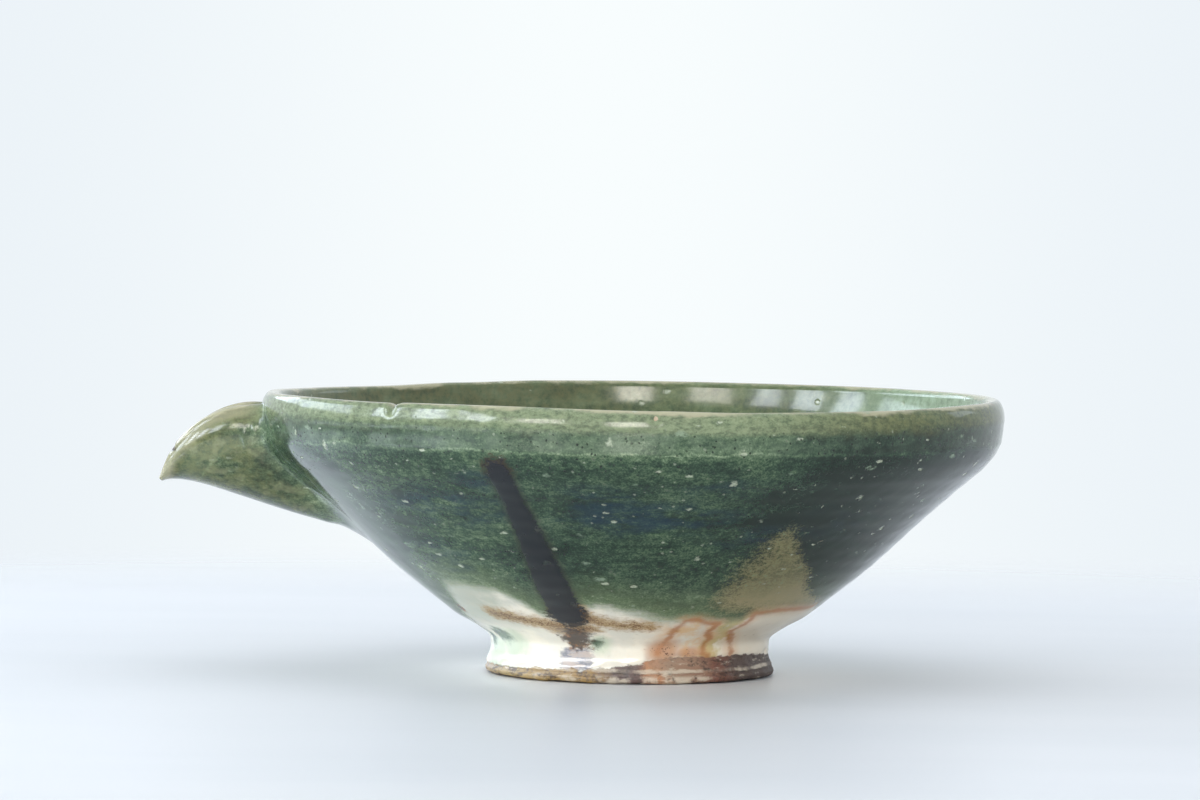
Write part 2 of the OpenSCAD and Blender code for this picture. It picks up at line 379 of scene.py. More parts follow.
# Meshes
def turned(outline, columns):
    """An outline spun round the axis: points, turns and heights, by row and column."""
    turn = np.linspace(-180, 180, columns, endpoint=False)[None, :] + 0 * outline[:, :1]
    a = np.radians(turn)
    r = outline[:, :1]
    z = outline[:, 1:] + 0 * turn
    return np.stack([r * np.sin(a), -r * np.cos(a), z], -1), turn, z


def raised(points, turn, normals, height):
    """Points moved out along the outline's normals."""
    a = np.radians(turn)
    way = np.stack([normals[:, :1] * np.sin(a), -normals[:, :1] * np.cos(a), normals[:, 1:] + 0 * a], -1)
    return points + way * np.asarray(height)[..., None]


def formed(points, turn, z):
    out = points.copy()
    out[..., 2] += form_lift(turn, z)
    return out


def grid_normals(points):
    across = np.roll(points, -1, 1) - np.roll(points, 1, 1)
    along = np.gradient(points, axis=0)
    return unit(np.cross(across, along))


def placed(name, data):
    """A new object in the scene."""
    obj = bpy.data.objects.new(name, data)
    bpy.context.scene.collection.objects.link(obj)
    return obj


def make_object(name, material, vertices, faces, normals=None, fields=None):
    """A smooth mesh object from points in millimetres, with its fields as point attributes."""
    mesh = bpy.data.meshes.new(name)
    mesh.from_pydata((vertices * MM).tolist(), [], [list(f) for f in faces])
    mesh.shade_smooth()
    for field, values in (fields or {}).items():
        attribute = mesh.attributes.new(field, "FLOAT", "POINT")
        attribute.data.foreach_set("value", np.asarray(values, np.float32).ravel())
    if normals is not None:
        mesh.normals_split_custom_set_from_vertices(normals.tolist())
    if material:
        mesh.materials.append(material)
    return placed(name, mesh)


def doubled(fields):
    """Fields of a grid, for its front and again for its back."""
    return {name: np.tile(np.ravel(values), 2) for name, values in fields.items()}


def shell(name, material, front, back, fields, keep=None, pole=False):
    """A closed shell round the axis between two grids, open where keep is false."""
    rows, columns = front.shape[:2]
    count = rows * columns
    keep = np.ones((rows - 1, columns), bool) if keep is None else keep
    index = np.arange(count).reshape(rows, columns)
    step = np.roll(index, -1, 1)
    a, b, c, d = index[:-1], step[:-1], step[1:], index[1:]
    faces = [np.stack([a, b, c, d], -1)[keep], np.stack([d, c, b, a], -1)[keep] + count]
    row_end = np.zeros((1, columns), bool)
    first = keep & ~np.vstack([row_end, keep[:-1]])
    last = keep & ~np.vstack([keep[1:], row_end | pole])
    left = keep & ~np.roll(keep, 1, 1)
    right = keep & ~np.roll(keep, -1, 1)
    for side, p, q in ((first, a, b), (right, b, c), (last, c, d), (left, d, a)):
        faces.append(np.stack([q, p, p + count, q + count], -1)[side])
    vertices = listed(front, back)
    normals = listed(grid_normals(front), -grid_normals(front))
    fields = doubled(fields)
    faces = [f for group in faces for f in group.tolist()]
    if pole:
        ends = (front[-1].mean(0), back[-1].mean(0))
        vertices = np.vstack([vertices, ends])
        normals = np.vstack([normals, [[0, 0, 1], [0, 0, -1]]])
        fields = {k: np.append(v, [v[count - 1]] * 2) for k, v in fields.items()}
        tip, foot = 2 * count, 2 * count + 1
        for p, q in zip(index[-1].tolist(), step[-1].tolist()):
            faces.append([p, q, tip])
            faces.append([q + count, p + count, foot])
    used = np.zeros(len(vertices), bool)
    used[np.unique([i for f in faces for i in f])] = True
    renumber = np.cumsum(used) - 1
    faces = [[int(renumber[i]) for i in f] for f in faces]
    fields = {k: v[used] for k, v in fields.items()}
    return make_object(name, material, vertices[used], faces, normals[used], fields)


def loop_faces(rows, columns, first=0, flip=False):
    """Faces between rings of points, each ring closed on itself."""
    index = first + np.arange(rows * columns).reshape(rows, columns)
    step = np.roll(index, -1, 1)
    quads = np.stack([index[:-1], step[:-1], step[1:], index[1:]], -1).reshape(-1, 4)
    return (quads[:, ::-1] if flip else quads).tolist()


def turned_solid(name, outline, columns, relief):
    """A closed solid spun from an outline that starts and ends near the axis."""
    base, turn, z = turned(outline, columns)
    grid = formed(raised(base, turn, side_normals(outline), relief(turn, z, base)), turn, z)
    count = grid.shape[0] * columns
    ends = [grid[0].mean(0), grid[-1].mean(0)]
    faces = loop_faces(len(outline), columns)
    for i in range(columns):
        j = (i + 1) % columns
        faces.append([j, i, count])
        faces.append([count - columns + i, count - columns + j, count + 1])
    return make_object(name, None, np.vstack([listed(grid), ends]), faces)


def pierced(points, side_r):
    """Which cells to keep round the pouring hole, with the points at its edge drawn onto its circle."""
    centre = 0.25 * (points[:-1] + points[1:])
    centre = centre + np.roll(centre, -1, 1)
    away = np.hypot(centre[..., 1], centre[..., 2] - HOLE_Z)
    keep = (away > HOLE_R) | (centre[..., 0] > 0)
    touch_gone = np.zeros(points.shape[:2], bool)
    touch_kept = np.zeros(points.shape[:2], bool)
    for mark, cells in ((touch_gone, ~keep), (touch_kept, keep)):
        for rows in (slice(0, -1), slice(1, None)):
            mark[rows] |= cells
            mark[rows] |= np.roll(cells, 1, 1)
    edge = touch_gone & touch_kept
    p = points.copy()
    spoke = np.stack([p[edge][:, 1], p[edge][:, 2] - HOLE_Z], 1)
    spoke *= HOLE_R / np.linalg.norm(spoke, axis=-1, keepdims=True)
    z = HOLE_Z + spoke[:, 1]
    p[edge] = np.stack([-np.sqrt(side_r(z) ** 2 - spoke[:, 0] ** 2), spoke[:, 0], z], 1)
    return keep, p


# Places of the glaze's features
STROKE_TOP_Z = 45.8
STROKE_LOW_Z = 11.6
STROKE_HALF = ((11, 2.2), (12.5, 3.3), (15, 3.9), (21, 3.7), (30, 3.1), (38, 2.5), (43, 2.6), (47, 2.2))
GREEN_EDGE = ((-180, 15.5), (-120, 14), (-95, 11), (-75, 10.2), (-68, 11.5), (-63, 14),
              (-58, 17.2), (-54, 19.2), (-48, 19.4), (-43.6, 18.8), (-37, 18.3), (-33, 16.5), (-30, 15.1),
              (-27.5, 13.6), (-22, 12.6), (-14, 15.6), (-8.5, 16.2), (-4, 15.5), (0, 14.8), (5.5, 13.8),
              (11.7, 13), (18, 13.4), (26, 13), (36, 13), (39, 14.2), (48, 14.8), (68, 14.9), (90, 13.6),
              (140, 16.2), (180, 15.5))
BARE_EDGE = ((-180, 4.2), (-140, 3.6), (-100, 2.6), (-81, 2.3), (-63, 2.5), (-38, 2.8), (-24, 2.8),
             (-12, 3.0), (-7, 3.4), (-3, 3.9), (4, 4.1), (9, 4.7), (17.6, 5.4), (25.5, 5.5), (33, 5.2),
             (46, 5.4), (60, 5.2), (86, 4.6), (120, 4.6), (180, 4.2))
TAN_PATCH = ((31, 31.6, 1), (33, 30.6, 1), (38.5, 25.8, 1), (45, 22.6, 1), (50.5, 18.8, 1), (64, 16, 2),
             (40, 14.6, 2), (25.6, 16.2, 3), (23.8, 18.2, 3), (25.5, 21.5, 3), (26.4, 24.9, 3), (29, 27.2, 2),
             (28, 29.8, 2))
BURNT_LINES = (
    ((11, 6.4), (12.5, 7.4), (14.2, 9.3), (14.8, 11.5), (17, 13.2), (20.8, 13.5), (23.8, 12.7), (28.4, 12.4),
     (27.7, 10.5), (31, 9.1), (30.4, 7.7), (30.5, 6.2), (33.3, 5.4)),
    ((68, 14.9), (54.4, 14.9), (47.4, 14.9), (39.3, 14.4), (39.9, 13.1), (36.8, 10.6), (42, 8.6),
     (45.8, 5.9)))
SMEARS = (
    ((-46.5, 13.6), (-40, 13.2), (-30.3, 12.1), (-24, 11.4)),
    ((-15.5, 15.2), (-13, 13.6), (-8, 12.6), (-3.4, 12), (2, 12.1), (6, 11.9)),
    ((-27, 11), (-20, 10.9), (-13, 11.2)))
SMEAR_HALF = 1.8
GREEN_SPOTS = ((-57.8, 9.1, 2.4), (-74.3, 7.6, 2.2), (-63, 8.6, 1.8), (-13.5, 8.3, 1.5), (128, 9, 2.4),
               (171, 8, 1.8))
GREEN_WASHES = ((-54.8, 7.7, 5), (-70, 4.8, 5), (-12, 8.3, 2.5), (125, 8, 6), (165, 10, 5), (-140, 8, 5))
BROWN_PATCHES = ((-20, 8.9, 3.2, 2.2), (-63, 14, 1.0, 0.8), (-86.6, 44.2, 1.6, 0.45), (150, 11, 3.5, 1.2))
RUST_PATCHES = ((13.5, 6.6, 3.4, 2.2), (24, 6.2, 3.0, 1.2))
LILAC_PATCH = (-22.4, 4.6, 3.4, 2.2)
BLUE_HAZE = ((-36, 36, 17, 4.5, 0.8), (-44, 25, 13, 6, 0.6), (-5, 38, 9, 3.2, 0.9), (2, 34.5, 17, 3.6, 1),
             (13, 41, 10, 3, 0.5), (24, 31, 16, 4, 0.5), (45, 33, 18, 5, 0.45), (-24, 41, 7, 4, 0.6),
             (150, 36, 40, 7, 0.7), (-150, 33, 40, 6, 0.7), (95, 36, 30, 6, 0.5))
STROKE_CORNER = 2.2
SPOT_EDGE = 1.6
PATCH_FALL = 0.7
# The greatest distance that is told apart, and the radius at which the wall is laid flat
FAR_OFF = 9.0
FLAT_R = 48


def segment_distance(points, start, end):
    way = end - start
    t = np.clip(((points - start) @ way) / (way @ way), 0, 1)
    return np.linalg.norm(points - start - t[..., None] * way, axis=-1)


def line_distance(points, lines):
    """Distance to the nearest of some lines of places on the bowl."""
    nearest = np.full(points.shape[:-1], FAR_OFF)
    for places in lines:
        corners = [on_bowl(turn, z) for turn, z in places]
        for p, q in zip(corners[:-1], corners[1:]):
            nearest = np.minimum(nearest, segment_distance(points, p, q))
    return nearest


def blobs(points, places):
    """Soft round spots, 1 at their middles and 0 at their edges."""
    total = np.zeros(points.shape[:-1])
    for turn, z, size in places:
        total = np.maximum(total, 1 - np.linalg.norm(points - on_bowl(turn, z), axis=-1) / (SPOT_EDGE * size))
    return np.maximum(total, 0)


def patches(turn, z, places, power=2):
    """Soft spots with their own half widths and half heights, oval or, at a higher power, squarer."""
    total = np.zeros(turn.shape)
    for at, height, wide, high in places:
        across = np.radians(wrapped(turn, at)) * outer_r(z)
        away = np.abs(across / wide) ** power + np.abs((z - height) / high) ** power
        total = np.maximum(total, np.exp(-PATCH_FALL * away))
    return total


def patch_depth(turn, z, corners):
    """How far inside an outline of places a point lies, in millimetres, negative outside it.

    Each corner also says how soft the side after it is.
    """
    turns, heights, softness = np.array(corners, float).T
    flat = np.stack([np.radians(turns) * FLAT_R, heights / math.sin(SLOPE)], -1)
    p = np.stack([np.radians(turn) * FLAT_R, z / math.sin(SLOPE)], -1)
    inside = np.zeros(turn.shape, bool)
    distance = np.full(turn.shape, FAR_OFF)
    for a, b, soft in zip(flat, np.roll(flat, -1, 0), softness):
        distance = np.minimum(distance, segment_distance(p, a, b) / soft)
        crosses = (a[1] > p[..., 1]) != (b[1] > p[..., 1])
        x = a[0] + (p[..., 1] - a[1]) * (b[0] - a[0]) / (b[1] - a[1] + 1e-12)
        inside ^= crosses & (p[..., 0] < x)
    return np.where(inside, distance, -distance)


def stroke_turn(z):
    """The middle of the iron stroke, which leans a little."""
    return -18.2 - 0.065 * z


def stroke_depth(turn, z):
    """How far inside the iron stroke a point lies, in millimetres."""
    across = np.abs(np.radians(wrapped(turn, stroke_turn(z)))) * outer_r(z)
    ends = np.minimum(STROKE_TOP_Z - z, z - STROKE_LOW_Z) * 1.3
    side = knots(STROKE_HALF, z) - across
    corner = np.hypot(np.minimum(side - STROKE_CORNER, 0), np.minimum(ends - STROKE_CORNER, 0))
    return np.clip(STROKE_CORNER - corner, -6, 6)


def haze(turn, z):
    """Soft ovals, each with its half width in degrees, its half height and its strength."""
    total = 0
    for at, height, wide, high, weight in BLUE_HAZE:
        total = np.maximum(total, weight * spot(wrapped(turn, at) / wide, (z - height) / high))
    return total


def outside_fields(points, turn, z):
    """Where each colour of the glazed outside lies, as smooth distances that the material sharpens."""
    return {
        "green": np.clip((z - knots(GREEN_EDGE, turn)) / math.sin(SLOPE), -15, 15),
        "bare": np.clip(knots(BARE_EDGE, turn) - z, -6, 6),
        "stroke": stroke_depth(turn, z),
        "tan": patch_depth(turn, z, TAN_PATCH),
        "burnt": line_distance(points, BURNT_LINES),
        "smear": line_distance(points, SMEARS),
        "spots": blobs(points, GREEN_SPOTS),
        "wash": blobs(points, GREEN_WASHES),
        "brown": patches(turn, z, BROWN_PATCHES),
        "rust": patches(turn, z, RUST_PATCHES),
        "lilac": patches(turn, z, (LILAC_PATCH,), 4),
        "blue": haze(turn, z),
        "below_rim": RIM_Z - z,
        "olive": 0 * z}


# Materials
def linear(hex_colour):
    parts = [int(hex_colour[i:i + 2], 16) / 255 for i in (1, 3, 5)]
    return tuple(p / 12.92 if p <= 0.04045 else ((p + 0.055) / 1.055) ** 2.4 for p in parts) + (1.0,)


class Nodes:
    """A node tree, written as sums of sockets. A colour is given as a socket or as hex text."""

    def __init__(self, tree):
        self.tree = tree
        tree.nodes.clear()

    def add(self, kind, inputs=None, **settings):
        made = self.tree.nodes.new("ShaderNode" + kind)
        for key, value in settings.items():
            setattr(made, key, value)
        for key, value in (inputs or {}).items():
            if isinstance(value, bpy.types.NodeSocket):
                self.tree.links.new(value, made.inputs[key])
            else:
                made.inputs[key].default_value = linear(value) if isinstance(value, str) else value
        return made

    def math(self, operation, first, *others):
        """One operation on a value, or the same one in turn with each of some others."""
        for other in others or (0.0,):
            first = self.add("Math", {0: first, 1: other}, operation=operation).outputs[0]
        return first

    def times(self, *values):
        return self.math("MULTIPLY", *values)

    def most(self, *values):
        return self.math("MAXIMUM", *values)

    def total(self, start, *parts):
        """Start plus each part, given as (socket, weight), or (socket, weight, middle) to centre it first."""
        result = start
        for part in parts:
            socket, weight = part[:2]
            if len(part) == 3:
                socket = self.math("SUBTRACT", socket, part[2])
            inputs = {0: socket, 1: weight, 2: result}
            result = self.add("Math", inputs, operation="MULTIPLY_ADD").outputs[0]
        return result

    def ramp(self, value, low, high, start=0.0, end=1.0):
        """A smooth step from start to end as the value goes from low to high, which may be the lesser."""
        if low > high:
            low, high, start, end = high, low, end, start
        inputs = {"Value": value, "From Min": low, "From Max": high, "To Min": start, "To Max": end}
        return self.add("MapRange", inputs, interpolation_type="SMOOTHSTEP").outputs["Result"]

    def zone(self, value, low, high, soft):
        """1 between two values and 0 outside them, with soft ends."""
        start = self.ramp(value, low - soft, low + soft)
        return self.times(start, self.ramp(value, high + soft, high - soft))

    def blend(self, factor, a, b):
        return self.add("Mix", {0: factor, 6: a, 7: b}, data_type="RGBA").outputs[2]

    def paint(self, colour, tone, value, low, high, share=1.0):
        """A colour that turns into a share of a tone as the value goes from low to high."""
        return self.blend(self.ramp(value, low, high, 0.0, share), colour, tone)

    def colours(self, value, stops):
        """A run of colours along a value from 0 to 1."""
        made = self.add("ValToRGB", {"Fac": value})
        elements = made.color_ramp.elements
        while len(elements) < len(stops):
            elements.new(0.5)
        for element, (position, colour) in zip(elements, stops):
            element.position = position
            element.color = linear(colour)
        return made.outputs["Color"]


class Material(Nodes):
    """A material, with patterns that are fixed to the object."""

    def __init__(self, name):
        self.material = bpy.data.materials.new(name)
        self.material.use_nodes = True
        super().__init__(self.material.node_tree)
        self.place = self.add("TexCoord").outputs["Object"]

    def field(self, name):
        return self.add("Attribute", attribute_name=name).outputs["Fac"]

    def scaled(self, x, y, z):
        return self.add("Mapping", {"Vector": self.place, "Scale": (x, y, z)}).outputs["Vector"]

    def parts(self):
        """The place's X, Y and Z."""
        return self.add("SeparateXYZ", {"Vector": self.place}).outputs

    def turn(self):
        """Degrees round the bowl's axis from the front towards +X."""
        parts = self.parts()
        return self.times(self.math("ARCTAN2", parts["X"], self.times(parts["Y"], -1.0)), 180 / math.pi)

    def noise(self, size, detail=3.0, rough=0.55, scale=None):
        """Noise from 0 to 1 with features of about the given size in millimetres, over scaled places."""
        vector = self.scaled(*scale) if scale else self.place
        inputs = {"Vector": vector, "Scale": 1 / (size * MM), "Detail": detail, "Roughness": rough}
        return self.add("TexNoise", inputs).outputs["Fac"]

    def ragged(self, value, **weights):
        """A value made uneven by some of the material's noises, each with its weight."""
        return self.total(value, *((getattr(self, kind), weight, 0.5) for kind, weight in weights.items()))

    def warped(self, size, amount, stretch):
        """The place, stretched upwards and pushed about by noise, for ragged spots."""
        inputs = {"Vector": self.place, "Scale": 1 / (size * MM), "Detail": 2.0}
        push = self.add("TexNoise", inputs).outputs["Color"]
        inputs = {0: push, 1: (amount * MM,) * 3, 2: self.scaled(1, 1, stretch)}
        return self.add("VectorMath", inputs, operation="MULTIPLY_ADD").outputs[0]

    def pits(self, size, share, low, high, warp):
        """Ragged spots in some cells of a scattered grid: 1 inside a spot, 0 outside it."""
        cell = self.add("TexVoronoi", {"Vector": self.warped(*warp), "Scale": 1 / (size * MM)})
        parts = self.add("SeparateColor", {"Color": cell.outputs["Color"]}).outputs
        chosen = self.math("LESS_THAN", parts["Red"], share)
        radius = self.ramp(parts["Green"], 0, 1, low, high)
        inside = self.ramp(self.math("SUBTRACT", radius, cell.outputs["Distance"]), -0.04, 0.06)
        return self.times(inside, chosen)

    def surface(self, colour, roughness, height, depth, **constants):
        """A glossy or matt surface, with a bump of the given depth in millimetres."""
        bump = self.add("Bump", {"Height": height, "Strength": 1.0, "Distance": depth * MM})
        inputs = {"Base Color": colour, "Roughness": roughness, "Normal": bump.outputs["Normal"], **constants}
        shader = self.add("BsdfPrincipled", inputs)
        self.add("OutputMaterial", {"Surface": shader.outputs["BSDF"]})
        return self.material


# Glaze from thick to thin, and the other colours
GREENS = ((0.0, "#15241a"), (0.25, "#223629"), (0.45, "#384f3a"), (0.62, "#53694c"), (0.8, "#6d8264"),
          (1.0, "#9cab88"))
BLUE = "#183247"
OLIVE = "#78784a"
OLIVE_BROWN = "#6a6640"
LIP_GREEN = "#9ca782"
# Pale green of thin glaze, lightened as a painted sheen
THIN_GREEN_AND_SHEEN = "#a3ba9c"
MILK = "#64755f"
TAN_DARK = "#5f6140"
BLOTCH = "#a9aa80"
LOW_OLIVE = "#5f6d45"
# Pale tan of thin glaze on the edges, lightened as a painted sheen
RIM_TAN_AND_SHEEN = "#b6b193"
TAN = "#857c54"
TAN_PALE = "#a5976c"
CREAM = "#e8e4d6"
CREAM_WARM = "#f5eedd"
PEACH = "#e6c9a0"
GREY_CREAM = "#e5dac6"
# Greenish grey cream, partly painted shade
GREENISH_SHADED_CREAM = "#b8bba8"
YELLOW_CREAM = "#cbbf8e"
PIT_CREAM = "#bcc4ab"
SMUDGE = "#8da087"
PINHOLE = "#141d16"
RED_SPECK = "#8f4a2a"
BURNT = "#ab6433"
BURNT_GLOW = "#d6a370"
SMEAR = "#67452a"
SMEAR_GLOW = "#ad8a52"
WASH = "#bccbb0"
SPOT_GREEN = "#30573f"
BROWN = "#382a20"
OCHRE = "#94622e"
RUST = "#c08a62"
RUST_SPECK = "#5c3424"
LILAC = "#b5a59e"
LILAC_BLUE = "#8d93a6"
LILAC_DARK = "#494f63"
IRON = "#191c22"
IRON_BROWN = "#38291b"
BARE_PALE = "#d6cab5"
BARE_DARK = "#33261f"
BARE_ROUND = ((0.0, "#7b5f40"), (0.25, "#86693f"), (0.33, "#a58c58"), (0.46, "#9d7b40"),
              (0.485, "#57443f"), (0.51, "#664c45"), (0.525, "#b9835a"), (0.55, "#9a8069"),
              (0.575, "#97765f"), (0.6, "#7a4c3b"), (0.63, "#52423a"), (0.75, "#4b3e35"),
              (1.0, "#7b5f40"))
CLAY = "#a58a68"
GLAZE_IOR = 1.44
GLAZE_ROUGHNESS = 0.09
GLAZE_BUMP = 0.22


class Outside(Material):
    """The outside's material, with the noises that its layers share."""

    def __init__(self, name):
        super().__init__(name)
        self.bearing = self.turn()
        self.big = self.noise(26, 2)
        self.streak = self.noise(10, 4, 0.6, scale=(0.45, 0.45, 3.6))
        self.mid = self.noise(5, 4, 0.6)
        self.fine = self.noise(1.5, 5, 0.7, scale=(1, 1, 1.7))
        self.grain = self.noise(0.4, 3, 0.7)
        self.depth = self.field("below_rim")
        self.rim = self.ragged(self.depth, streak=3.0, mid=2.0)
        self.edge = self.ragged(self.field("green"), streak=5.0, mid=3.0, fine=3.0)


def green_layer(m):
    """Green that is deep where the glaze ran thick and pale where it is thin, with painted shade on the right
    and on the left and painted light at the spout's root.
    """
    # Painted shade: the right side, turned away from the windows, is darkened in colour (the -0.38 below).
    right = m.times(m.zone(m.bearing, 26, 80, 10), m.ramp(m.rim, 1, 6))
    # Painted shade: the left side below the lip band is darkened against the window light there (the -0.1
    # below).
    left = m.times(m.zone(m.bearing, -85, -30, 12), m.ramp(m.rim, 14, 9))
    band = m.times(m.zone(m.rim, 20.5, 23.5, 1.5), m.zone(m.bearing, 8, 44, 6))
    milky = m.zone(m.rim, 4.8, 8.6, 0.8)
    # Painted light: the spout's root skirt, where the joint sits in shade, is made paler (the 0.16 below).
    root = m.zone(m.field("olive"), 0.15, 0.7, 0.15)
    line = m.zone(m.ragged(m.depth, big=5.0, mid=1.6), 8.5, 8.8, 0.3)
    tone = m.ragged(0.36, big=0.4, streak=0.8, mid=0.6, fine=1.15, grain=1.0)
    tone = m.total(tone, (m.ramp(m.rim, 14, 8), 0.16), (milky, 0.03), (line, 0.26),
                   (m.ramp(m.edge, 16, 4), 0.16), (m.ramp(m.edge, 6, -0.5), 0.36), (right, -0.38),
                   (left, -0.1), (band, -0.13), (root, 0.16))
    # Less milk towards the right: part of the painted shade on that side.
    milk = m.times(milky, m.ramp(m.mid, 0.36, 0.64, 0.1, 0.55), m.ramp(m.bearing, 40, 5, 0.3, 1))
    colour = m.blend(milk, m.colours(tone, GREENS), MILK)
    return m.paint(colour, LOW_OLIVE, m.edge, 13, 2, 0.45)


def haze_layer(m, colour):
    """Blue streaks where the glaze ran thickest."""
    streaks = m.noise(5, 5, 0.65, scale=(0.6, 0.6, 2.6))
    return m.paint(colour, BLUE, m.times(m.field("blue"), m.ramp(streaks, 0.3, 0.66)), 0.02, 0.85, 0.6)


def lip_layer(m, colour):
    """Olive where the glaze is thin on the lip and the spout, and pale tan on the very edge: thin glaze
    there, lightened as a painted sheen.
    """
    on_spout = m.field("olive")
    olive = m.most(m.ramp(m.rim, 5.6, 3.2), m.times(on_spout, m.ramp(m.mid, 0.38, 0.64, 0.25, 0.9)))
    tone = m.blend(m.most(m.ramp(m.bearing, 10, 48), on_spout), LIP_GREEN, OLIVE)
    tone = m.paint(tone, TAN_DARK, m.bearing, 40, 60, 0.6)
    colour = m.blend(m.times(olive, m.ramp(m.fine, 0.3, 0.7, 0.3, 0.75)), colour, tone)
    colour = m.blend(m.times(on_spout, m.ramp(m.noise(4.2, 3, 0.5), 0.54, 0.7, 0, 0.3)), colour, BLOTCH)
    # Pale tan on the spout's edge and tip: thin glaze, lightened as a painted sheen.
    colour = m.blend(m.times(on_spout, m.ramp(m.rim, 3.6, 1.6, 0, 0.45)), colour, RIM_TAN_AND_SHEEN)
    colour = m.paint(colour, RIM_TAN_AND_SHEEN, m.ragged(m.field("tip"), mid=0.8, fine=1.0), 0.3, 0.9, 0.3)
    return m.paint(colour, RIM_TAN_AND_SHEEN, m.rim, 0.9, 0.1, 0.8)


def tan_layer(m, colour):
    """The thin tan patch on the right of the front, grainy and paler towards its foot."""
    speckle = m.total(0.0, (m.fine, 0.6), (m.grain, 0.4))
    tone = m.paint(TAN_DARK, TAN, speckle, 0.42, 0.56)
    tone = m.paint(tone, GREENS[4][1], speckle, 0.53, 0.66, 0.8)
    tone = m.paint(tone, TAN_PALE, m.ragged(m.edge, fine=8.0), 15, 4, 0.75)
    return m.paint(colour, tone, m.ragged(m.field("tan"), mid=3.0, fine=4.0, grain=4.0), -1.2, 1.2, 0.9)


def cream_layer(m, colour):
    """Cream below the green: white and warm in the middle, peach, yellow and grey towards the right, and
    greenish grey high on the left, partly painted shade.
    """
    bearing = m.ragged(m.bearing, mid=30.0)
    cream = m.paint(CREAM, CREAM_WARM, m.noise(6, 3), 0.38, 0.62)
    cream = m.blend(m.zone(bearing, 9, 32, 5), cream, m.paint(PEACH, CREAM, m.mid, 0.4, 0.6))
    cream = m.blend(m.zone(bearing, 30, 38, 3), cream, YELLOW_CREAM)
    cream = m.blend(m.zone(bearing, 40, 110, 5), cream, GREY_CREAM)
    # Greenish grey cream high on the left: partly a green tint of the glaze, partly painted shade.
    left = m.times(m.zone(bearing, -90, -40, 8), m.ramp(m.depth, 46, 43, 0, 0.9))
    cream = m.paint(m.blend(left, cream, GREENISH_SHADED_CREAM), PEACH, m.fine, 0.5, 0.75, 0.2)
    return m.paint(colour, cream, m.edge, 2.4, -2.2)


def stain_layer(m, colour):
    """Green washes and drips, brown smears and rust-coloured lines in the cream."""
    colour = m.paint(colour, WASH, m.times(m.field("wash"), m.mid), 0.05, 0.35, 0.7)
    colour = m.paint(colour, SPOT_GREEN, m.ragged(m.field("spots"), mid=0.8, fine=0.9), 0.1, 0.75, 0.85)
    smear = m.ragged(m.field("smear"), fine=5.0, streak=3.0)
    colour = m.paint(colour, SMEAR_GLOW, smear, 1.9 * SMEAR_HALF, 0.6, 0.85)
    colour = m.paint(colour, SMEAR, m.ragged(smear, grain=9.0, mid=3.0), 0.8 * SMEAR_HALF, -0.8, 0.8)
    burnt = m.ragged(m.field("burnt"), mid=1.8, fine=1.4)
    colour = m.paint(colour, BURNT_GLOW, burnt, 3.2, 0.3, 0.38)
    colour = m.paint(colour, BURNT, burnt, 1.2, 0.1, 0.65)
    rust = m.field("rust")
    colour = m.paint(colour, RUST, m.ragged(rust, mid=1.0), 0.2, 0.9, 0.75)
    specks = m.total(rust, (m.fine, 2.4, 0.62), (m.grain, 1.6, 0.5))
    return m.paint(colour, RUST_SPECK, specks, 0.75, 1.0, 0.8)


def drip_layer(m, colour):
    """The iron that ran below the stroke: brown, then a lilac patch with dark blue streaks."""
    bands = m.noise(2.4, 5, 0.7, scale=(0.6, 0.6, 2.0))
    tone = m.paint(LILAC, LILAC_BLUE, bands, 0.42, 0.58)
    tone = m.paint(tone, LILAC_DARK, bands, 0.48, 0.6, 0.85)
    colour = m.paint(colour, tone, m.ragged(m.field("lilac"), mid=1.0, fine=1.2), 0.2, 0.75, 0.8)
    tone = m.paint(BROWN, OCHRE, m.noise(2.6, 5, 0.7), 0.5, 0.66)
    return m.paint(colour, tone, m.ragged(m.field("brown"), mid=1.2, fine=1.3), 0.25, 0.7, 0.9)


def iron_layer(m, colour):
    """The iron stroke, with brown edges at its two ends."""
    stroke = m.ragged(m.field("stroke"), fine=3.2, grain=2.6, mid=1.0)
    ends = m.most(m.ramp(m.depth, 15, 11), m.ramp(m.depth, 38, 42))
    stroke = m.total(stroke, (m.times(ends, m.math("SUBTRACT", m.fine, 0.5)), 5.0))
    brown = m.times(m.ramp(stroke, -1.3, 0.2, 0, 0.85), m.ramp(ends, 0, 1, 0.3, 1))
    return m.paint(m.blend(brown, colour, IRON_BROWN), IRON, stroke, -0.2, 0.8, 0.95)


def pit_layer(m, colour, in_green):
    """Smudges, burst bubbles that healed pale, and dark pinholes: the colour and the two kinds of pit."""
    on_spout = m.field("olive")
    shown = m.times(in_green, m.ramp(m.field("stroke"), 0.5, -1.0, 0.12, 1), m.ramp(on_spout, 0, 1, 1, 0.4))
    smudge = m.pits(9, 0.55, 0.04, 0.16, (1.4, 2.2, 2.4))
    colour = m.blend(m.times(smudge, shown, m.ramp(m.fine, 0.35, 0.65, 0, 0.75)), colour, SMUDGE)
    wide = m.pits(5.0, 0.55, 0.02, 0.17, (0.8, 1.3, 2.4))
    tall = m.pits(6.0, 0.4, 0.02, 0.13, (0.8, 1.6, 0.8))
    tiny = m.pits(1.9, 0.35, 0.05, 0.17, (0.6, 0.6, 1.0))
    pale = m.times(m.most(wide, tall, m.times(tiny, 0.5)), shown)
    colour = m.blend(m.times(pale, m.ramp(m.grain, 0.35, 0.65, 0.45, 0.85)), colour, PIT_CREAM)
    off_spout = m.times(in_green, m.ramp(on_spout, 0, 0.6, 1, 0))
    where = m.times(m.zone(m.rim, 4, 13, 2), m.ramp(m.mid, 0.32, 0.5))
    dots = m.times(m.pits(0.9, 0.75, 0.08, 0.27, (0.8, 0.5, 1.0)), off_spout, where)
    return m.blend(m.times(dots, 0.85), colour, PINHOLE), pale, dots


